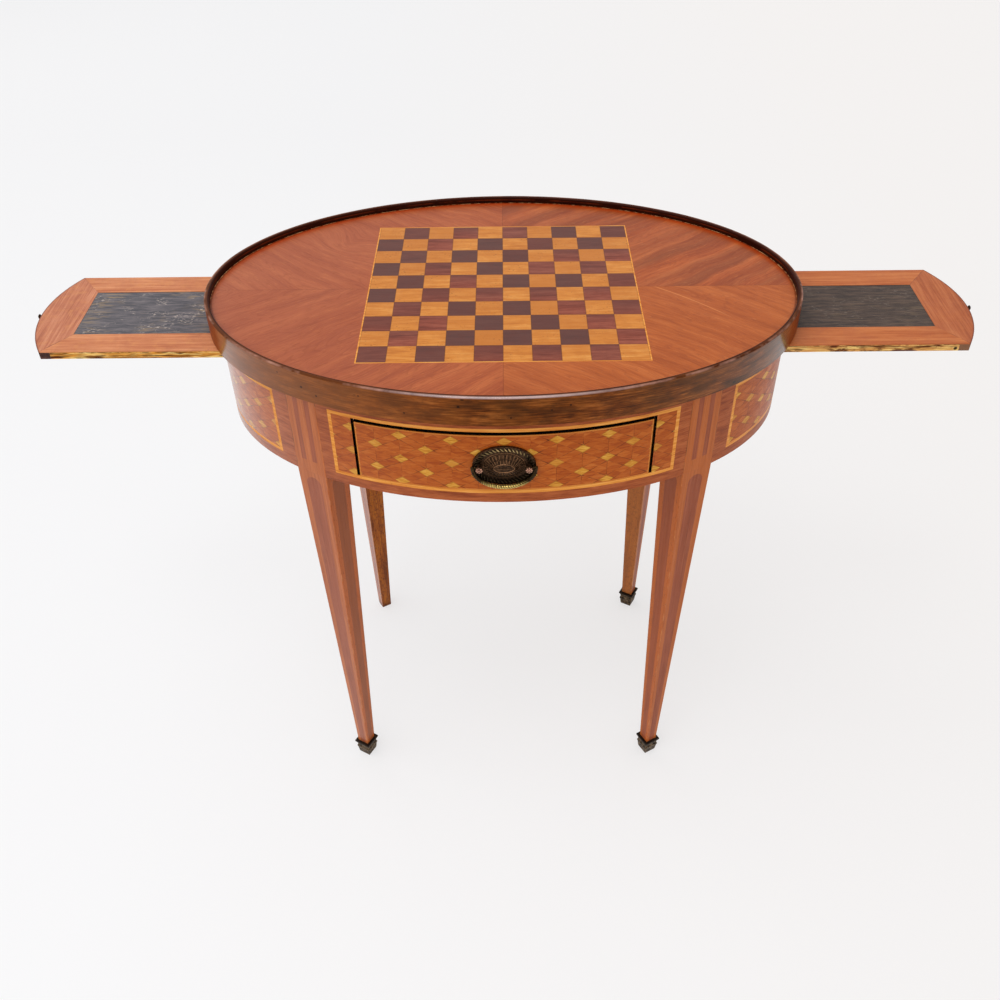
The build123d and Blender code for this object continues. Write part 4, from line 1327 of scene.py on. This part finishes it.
def rub(piece, how_much):
    """Gives each point of a piece the attribute rubbed, from 0 to 1, by its place."""
    marks = piece.data.attributes.new("rubbed", "FLOAT", "POINT")
    for mark, point in zip(marks.data, piece.data.vertices):
        mark.value = min(1.0, max(0.0, how_much(point.co)))


def strew(first, places):
    """Copies of a piece, each with its own mesh, at every place and turn, joined into one."""
    copies = []
    for spot, turn in places:
        copy = first.copy()
        copy.data = first.data.copy()
        bpy.context.collection.objects.link(copy)
        copy.location = spot
        copy.rotation_euler = turn
        copies.append(copy)
    bpy.data.objects.remove(first)
    only(copies[0])
    for copy in copies:
        copy.select_set(True)
    bpy.ops.object.join()
    return bpy.context.active_object


def even_steps(half_length, half_height, start, end, count):
    """Evenly spaced places on an oval in the XZ plane, each with the slope of the oval there."""
    fine = 2000
    turns = [start + (end - start) * step / fine for step in range(fine + 1)]
    lengths = [0.0]
    for before, after in zip(turns, turns[1:]):
        step_x = half_length * (math.cos(after) - math.cos(before))
        step_z = half_height * (math.sin(after) - math.sin(before))
        lengths.append(lengths[-1] + math.hypot(step_x, step_z))
    places = []
    nearest = 0
    for number in range(count):
        wanted = lengths[-1] * (number + 0.5) / count
        while lengths[nearest] < wanted:
            nearest += 1
        turn = turns[nearest]
        slope = math.atan2(half_height * math.cos(turn), -half_length * math.sin(turn))
        places.append((half_length * math.cos(turn), half_height * math.sin(turn), slope))
    return places


helpers = (only, apply_all, edit_all, settle, rub, strew, even_steps)
print("helpers:", [helper.__name__ for helper in helpers])

# %% [markdown]
# The dome starts as a flat oval of 64 sides. Insets with a little depth raise it in steps: a
# plain bead, two rings of flutes, and the rim and hollow of the small oval in the middle. For
# the flutes, every second face of a ring is inset by itself and pushed out, and its points are
# marked as rubbed. The marks are kept in a bmesh layer, because the mesh is still being made.
# Each step below is how wide the inset is, how high it rises and how much it is rubbed.

# %% Fluted dome of the pull
dome_sides = 64
dome_half_length = 0.0245
dome_half_height = 0.0185
dome_base = pull_low[1] + 0.0017
flute_margin = 0.00028
edge_steps = (
    (0.0006, 0.0005, 0.6),
    (0.0005, 0.0001, 0.6),
    (0.0006, -0.0004, 0.0),
    (0.0005, 0.0001, 0.0),
)
oval_steps = (
    (0.0004, 0.0006, 1.0),
    (0.0004, 0.0, 1.0),
    (0.0005, -0.0007, 0.0),
    (0.0018, 0.0001, 0.1),
)


def mark_selected(piece, amount):
    """Marks the points of the selected faces as rubbed."""
    mesh = bmesh.from_edit_mesh(piece.data)
    layer = mesh.verts.layers.float.get("rubbed") or mesh.verts.layers.float.new("rubbed")
    for face in [face for face in mesh.faces if face.select]:
        for point in face.verts:
            point[layer] = amount
    bmesh.update_edit_mesh(piece.data)


def step_in(piece, wide, high, amount=0.0):
    """One inset of the selected face, raised by high, with its points marked."""
    bpy.ops.mesh.inset(thickness=wide, depth=high)
    mark_selected(piece, amount)


def flute_ring(piece, wide, high, proud, amount):
    """An inset whose ring has every second face pushed out and rubbed."""
    step_in(piece, wide, high)
    mesh = bmesh.from_edit_mesh(piece.data)
    middle = next(face for face in mesh.faces if face.select)
    ring = [other for edge in middle.edges for other in edge.link_faces if other is not middle]
    middle.select_set(False)
    for face in ring[::2]:
        face.select_set(True)
    bmesh.update_edit_mesh(piece.data)
    bpy.ops.mesh.inset(thickness=flute_margin, depth=proud, use_individual=True)
    mark_selected(piece, amount)
    bpy.ops.mesh.select_all(action="DESELECT")
    mesh = bmesh.from_edit_mesh(piece.data)
    wide_faces = [face for face in mesh.faces if len(face.verts) > 8]
    max(wide_faces, key=lambda face: -face.calc_center_median().y).select_set(True)
    bmesh.update_edit_mesh(piece.data)
    return len(ring) // 2


bpy.ops.mesh.primitive_circle_add(
    vertices=dome_sides,
    radius=1.0,
    fill_type="NGON",
    location=(0, dome_base, pull_middle),
    rotation=(math.radians(90), 0, 0),
)
dome = bpy.context.active_object
dome.scale = (dome_half_length, dome_half_height, 1.0)
apply_all(dome)
edit_all()
bpy.ops.mesh.extrude_region_move(TRANSFORM_OT_translate={"value": (0, -0.0003, 0)})
for wide, high, amount in edge_steps:
    step_in(dome, wide, high, amount)
flutes = flute_ring(dome, 0.0050, 0.0030, 0.0009, 0.6)
step_in(dome, 0.0005, 0.0)
flutes += flute_ring(dome, 0.0040, 0.0023, 0.0008, 0.7)
step_in(dome, 0.0004, 0.0)
for wide, high, amount in oval_steps:
    step_in(dome, wide, high, amount)
bpy.ops.object.mode_set(mode="OBJECT")
print("flutes:", flutes)
settle(dome, "pull_dome", pull_brass, "drawer", "pull_brass")

# %% [markdown]
# The rope is made of 40 slanting beads along the rim. A bead is a small ball, drawn out long,
# with its back sliced off where it sits in the rim. Its front is rubbed bright.

# %% Rope along the pull's rim
bead_count = 40
bead_slant = math.radians(50)
rope_oval = (0.0318, 0.0228)


def half_ball(segments, size, slice_at):
    """A small ball drawn out to a size, with its back sliced off flat."""
    bpy.ops.mesh.primitive_uv_sphere_add(
        segments=segments, ring_count=6, radius=1.0, location=(0, 0, 0)
    )
    ball = bpy.context.active_object
    ball.scale = size
    apply_all(ball)
    edit_all()
    bpy.ops.mesh.bisect(
        plane_co=(0, slice_at, 0), plane_no=(0, 1, 0), clear_outer=True, use_fill=True
    )
    bpy.ops.object.mode_set(mode="OBJECT")
    return ball


bead = half_ball(8, (0.0036, 0.0012, 0.0010), 0.0004)
rub(bead, lambda point: (-point.y - 0.0004) / 0.0007)
rope_places = []
for across, up, slope in even_steps(*rope_oval, 0.0, 2 * math.pi, bead_count):
    rope_places.append(((across, pull_low[1], pull_middle + up), (0, bead_slant - slope, 0)))
rope = strew(bead, rope_places)
settle(rope, "pull_rope", rim_brass, "drawer", "pull_brass")

# %% [markdown]
# Each head has eight petals round a small boss. The petals and bosses of both heads are copies
# of one ball, sliced flat behind like the beads of the rope.

# %% Petals on the pull's heads
posts_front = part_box("pull_posts")[0][1]
head_offset = 0.028
petal_count = 8
petal_ring = 0.0027
petal = half_ball(10, (0.0015, 0.0009, 0.0009), 0.0003)
rub(petal, lambda point: -point.y / 0.0006)
petal_places = []
for side in (-1, 1):
    for number in range(petal_count):
        turn = 2 * math.pi * number / petal_count
        across = side * head_offset + petal_ring * math.cos(turn)
        up = pull_middle + petal_ring * math.sin(turn)
        petal_places.append(((across, posts_front + 0.0001, up), (0, -turn, 0)))
    petal_places.append(((side * head_offset, posts_front - 0.0002, pull_middle), (0, 0, 0)))
petals = strew(petal, petal_places)
settle(petals, "pull_petals", head_brass, "drawer", "pull_brass")

# %% [markdown]
# The bail is a rod with a twist cast along it. Rings that lean over, set closely along the
# hanging half oval, stand a little proud of the CAD rod and make the twist. The outside of each
# ring is rubbed.

# %% Twist on the bail
bail_low, bail_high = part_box("pull_bail")
bail_rod = 0.0022
bail_depth_middle = (bail_low[1] + bail_high[1]) / 2
bail_oval = (bail_high[0] - bail_rod, pull_middle - bail_low[2] - bail_rod)
strand_count = 30
strand_lean = math.radians(36)
twist_start = math.radians(194)
twist_end = math.radians(346)
bpy.ops.mesh.primitive_torus_add(
    major_segments=16,
    minor_segments=6,
    major_radius=0.0021,
    minor_radius=0.0007,
    location=(0, 0, 0),
    rotation=(0, math.radians(90), 0),
)
strand = bpy.context.active_object
apply_all(strand)
edit_all()
bpy.ops.transform.resize(value=(1.25, 1.0, 1.1))
bpy.ops.object.mode_set(mode="OBJECT")
rub(strand, lambda point: (math.hypot(point.y, point.z) - bail_rod) / 0.0004)
strand_places = []
for across, up, slope in even_steps(*bail_oval, twist_start, twist_end, strand_count):
    spot = (across, bail_depth_middle, pull_middle + up)
    strand_places.append((spot, (0, -(slope + strand_lean), 0)))
twist = strew(strand, strand_places)
settle(twist, "bail_twist", bail_brass, "bail", "pull_brass")

# %% [markdown]
# The studio is a wide pale floor, a bright even surround and one broad soft light from the
# left in front. The floor stands for the white room. What the camera sees of it is half its own
# glow and half lit, so the table's shadow stays as faint as in an overexposed white room, while
# the light that it throws up at the table is that of a plain white floor. The glow is a little
# brighter towards the camera and warmer to the right. The surround is brighter to the camera
# than it is as a light. Two small lamps, behind on the left and overhead, put a sheen on the
# polish.

# %% Floor and light
bpy.ops.mesh.primitive_plane_add(size=30.0, location=(0, 0, 0))
floor = bpy.context.active_object
floor.name = "studio_floor"
floor_finish, shader, place = new_finish("studio floor", specular=0.2)
x, y = split(place)[:2]
seen = Value(put(place.tree, "ShaderNodeLightPath").outputs["Is Camera Ray"])
cloudy = between(noise(place, scale=0.8, detail=3.0), 0.35, 0.65)
floor_colour = blend(cloudy, tint(240, 239, 239), tint(244, 244, 244))
fill(shader, "Base Color", blend(seen, floor_colour, tint(149, 149, 150)))
plain_glow = blend(between(y, 2.4, -0.6), tint(197, 197, 198), tint(207, 207, 208))
warm_glow = blend(between(x, -0.6, 1.2), plain_glow, tint(200, 197, 195))
fill(shader, "Emission Color", blend(seen, tint(0, 0, 0), warm_glow))
shader.inputs["Emission Strength"].default_value = 1.0
shader.inputs["Roughness"].default_value = 0.7
floor.data.materials.append(floor_finish)

world = bpy.data.worlds.new("studio surround")
bpy.context.scene.world = world
world.use_nodes = True
surround = world.node_tree.nodes["Background"]
seen = Value(put(world.node_tree, "ShaderNodeLightPath").outputs["Is Camera Ray"])
fill(surround, "Color", blend(seen, (1.0, 0.99, 0.98, 1.0), (1.2, 1.2, 1.2, 1.0)))
surround.inputs["Strength"].default_value = 0.74


def facing(direction):
    """The turn that points a light's back along a direction, so that it shines against it."""
    return Vector(direction).to_track_quat("Z", "Y").to_euler()


bpy.ops.object.light_add(type="SUN", location=(-1.0, -1.5, 3.0))
sun = bpy.context.active_object
sun.name = "soft_key"
sun.data.energy = 1.0
sun.data.angle = math.radians(70)
sun.rotation_euler = facing((-0.75, -0.5, 1.4))


def soft_box(name, place, size, power):
    """A square lamp that looks at the middle of the table top."""
    bpy.ops.object.light_add(type="AREA", location=place)
    lamp = bpy.context.active_object
    lamp.name = name
    lamp.data.shape = "SQUARE"
    lamp.data.size = size
    lamp.data.energy = power
    lamp.rotation_euler = facing(Vector(place) - Vector((0, 0, surface)))
    return lamp


window = soft_box("window_behind_left", (-2.4, 3.2, 2.3), 2.0, 9.0)
ceiling = soft_box("ceiling_lamp", (-0.3, -0.9, 2.9), 0.7, 7.0)
print("lights:", sun.name, window.name, ceiling.name)

# %% [markdown]
# The camera stands a little over a metre in front of the table at head height and looks down
# at about 41 degrees. Its place and lens were fitted to the corners of the board, the oval of
# the top and the feet.

# %% Camera
camera_turns = (49.0172, 0.6039, -0.0347)
bpy.ops.object.camera_add(location=(0.0024, -1.1258, 1.3625))
camera = bpy.context.active_object
camera.name = "photo_camera"
camera.rotation_euler = Euler([math.radians(turn) for turn in camera_turns], "XYZ")
camera.data.sensor_fit = "HORIZONTAL"
camera.data.sensor_width = 36.0
camera.data.lens = 36.70
camera.data.clip_end = 100.0
bpy.context.scene.camera = camera
bpy.context.scene.view_settings.view_transform = "Standard"
print("camera at", tuple(camera.location))
